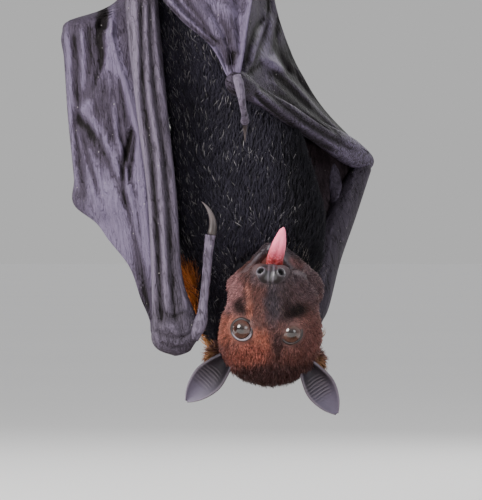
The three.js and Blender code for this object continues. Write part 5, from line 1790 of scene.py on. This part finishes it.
clumps = 1 + 0.28 * ripple(place * (1, 0.5, 1), 3.2, seed=78)
shade = (CHANCE.uniform(0.55, 1.45, len(roots)) * clumps)[:, None]
root_colour = marks * 0.42 * shade
tip_colour = speckle(marks * 1.6 * shade, roots, 0.06, TAWNY, 0.45)
turn = np.arctan2(x, z + 3)
unroll = np.c_[turn * 24, y]
middle = (y < 8) & (y >= -10)
areas = {
    "coat_face": y >= 8,
    "coat_brow": middle & (z > -2),
    "coat_cheeks": middle & (z <= -2),
    "coat_crown": y < -10,
}
for name, area in areas.items():
    coat_piece(name, roots[area], normals[area], lie[area], length[area], width[area], lift[area],
               (root_colour[area], tip_colour[area]), unroll[area], SHORT_TUFT)

# %% [markdown]
# ## Whiskers
# A few long pale hairs stand out round the chin and the lips. They are the same kind of spike
# as the fur, only thin, long and raised.

# %% Whiskers
WHISKERS = 30
WHISKER_LENGTH, WHISKER_WIDTH, WHISKER_LIFT = 8.0, 0.06, 0.75
chin = (z < -15) & (y > 12) | (y > 24) & (z < -6) & (np.abs(x) > 4)
chosen = CHANCE.choice(np.flatnonzero(chin), WHISKERS, replace=False)
each = np.ones(WHISKERS)
pale = each[:, None] * (0.36, 0.31, 0.28)
away = unit(roots[chosen] - on_head((0, 14, -14)))
coat_piece("whiskers", roots[chosen], normals[chosen], away + (0, 0, 0.8), each * WHISKER_LENGTH,
           each * WHISKER_WIDTH, each * WHISKER_LIFT, (pale * 0.6, pale), unroll[chosen])
print("coat:", sum(triangles(piece) for piece in coat), "triangles in", len(coat), "pieces")

# %% [markdown]
# ## One skin
# All the flesh becomes one piece: trunk, head, wings, limbs, nose, lids and ears. Each part keeps
# its own finish as a material slot. The construction nodes of the flesh are replaced by it.

# %% Join the skin
skin = join("skin", trunk, head, nose, lids, ears, *wings, *limbs)
FLESH = ["head", "jaw", "nose", "ear_left", "ear_right", "neck", "chest", "belly", "wing_left_hand",
         "wing_left_arm", "wing_right_forearm", "wing_right_upper_arm", "wing_right_cloak",
         "wing_right_fan", "wing_right_flank", "thumb_left", "thumb_right", "thigh_left",
         "thigh_right", "shin_left", "shin_right", "foot_left", "foot_right"]
print("skin:", triangles(skin), "triangles,", len(skin.material_slots), "finishes")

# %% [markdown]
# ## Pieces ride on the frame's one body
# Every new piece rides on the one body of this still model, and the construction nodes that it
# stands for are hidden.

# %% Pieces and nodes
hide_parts(*FLESH)
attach(skin, "root")
for piece in coat:
    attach(piece, "root")
for name, eyeball in eyeballs.items():
    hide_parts(f"eye_{name}")
    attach(eyeball, "root")
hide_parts("tongue")
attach(tongue, "root")
for node, claw in claws.items():
    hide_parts(node)
    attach(claw, "root")
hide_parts("perch_branch")
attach(perch, "root")
print("pieces told to the frame:", 2 + len(coat) + len(eyeballs) + len(claws) + 1)

# %% [markdown]
# ## Floor, light and camera
# The model stands on a plain pale floor under a pale sky. Four large soft lights shape it: a
# key from the upper left in front, a weaker fill from the right, and two rim lights from behind
# that draw the edges of the wings. The camera looks level from three metres away.

# %% Floor and lights
FLOOR_RADIUS = 60.0
bpy.ops.mesh.primitive_circle_add(vertices=128, radius=FLOOR_RADIUS, fill_type="NGON", location=(0, 0, 0))
floor = bpy.context.object
floor.name = floor.data.name = "studio_floor"
plain = Finish("studio_floor", Specular_IOR_Level=0.2)
cloud = plain.noise(900, detail=2)
give(floor, plain.finish(plain.mix(cloud, (0.80, 0.79, 0.78), (0.84, 0.83, 0.82)), 0.8 + 0.1 * cloud))


def soft_light(name, place, aim, size, power, colour=(1, 1, 1)):
    data = bpy.data.lights.new(name, "AREA")
    data.shape, data.size, data.energy, data.color = "DISK", size, power, colour
    light = bpy.data.objects.new(name, data)
    light.location = place
    light.rotation_euler = (Vector(aim) - Vector(place)).to_track_quat("-Z", "Y").to_euler()
    bpy.context.collection.objects.link(light)


BODY_MIDDLE = (-0.01, 0.0, 0.22)
soft_light("key", (-0.95, -1.0, 0.95), BODY_MIDDLE, 0.95, 47, (1.0, 0.985, 0.965))
soft_light("fill", (1.15, -1.3, 0.60), BODY_MIDDLE, 0.9, 7.6, (0.93, 0.96, 1.0))
soft_light("rim", (0.5, 1.2, 0.9), BODY_MIDDLE, 0.8, 8)
soft_light("rim_left", (-1.2, 0.5, 0.6), BODY_MIDDLE, 0.6, 6)
world = bpy.data.worlds.new("pale_sky")
bpy.context.scene.world = world
world.use_nodes = True
sky, sky_links = world.node_tree.nodes, world.node_tree.links
way = sky.new("ShaderNodeTexCoord")
height = sky.new("ShaderNodeSeparateXYZ")
ramp = sky.new("ShaderNodeMapRange")
shade = sky.new("ShaderNodeMix")
shade.data_type = "RGBA"
ramp.inputs["From Min"].default_value, ramp.inputs["From Max"].default_value = 0.06, 0.5
shade.inputs[6].default_value, shade.inputs[7].default_value = (0.66, 0.66, 0.66, 1), (0.85, 0.86, 0.88, 1)
sky_links.new(way.outputs["Generated"], height.inputs[0])
sky_links.new(height.outputs["Z"], ramp.inputs["Value"])
sky_links.new(ramp.outputs["Result"], shade.inputs[0])
sky_links.new(shade.outputs[2], sky["Background"].inputs["Color"])
sky["Background"].inputs["Strength"].default_value = 0.8
print("lights set")

# %% Camera
CAMERA_AT = np.array([-2.2, -3000.0, 160.0])
PICTURE_WIDE, PICTURE_HIGH = 482, 500
PIXEL = 0.55
SENSOR = 36.0
lens_data = bpy.data.cameras.new("camera")
lens_data.sensor_fit = "HORIZONTAL" if PICTURE_WIDE > PICTURE_HIGH else "VERTICAL"
lens_data.sensor_width = lens_data.sensor_height = SENSOR
lens_data.lens = SENSOR * -CAMERA_AT[1] / (PIXEL * max(PICTURE_WIDE, PICTURE_HIGH))
camera = bpy.data.objects.new("camera", lens_data)
camera.location = CAMERA_AT * MM
camera.rotation_euler = (math.pi / 2, 0, 0)
bpy.context.collection.objects.link(camera)
bpy.context.scene.camera = camera
print("lens:", round(lens_data.lens, 1), "mm")
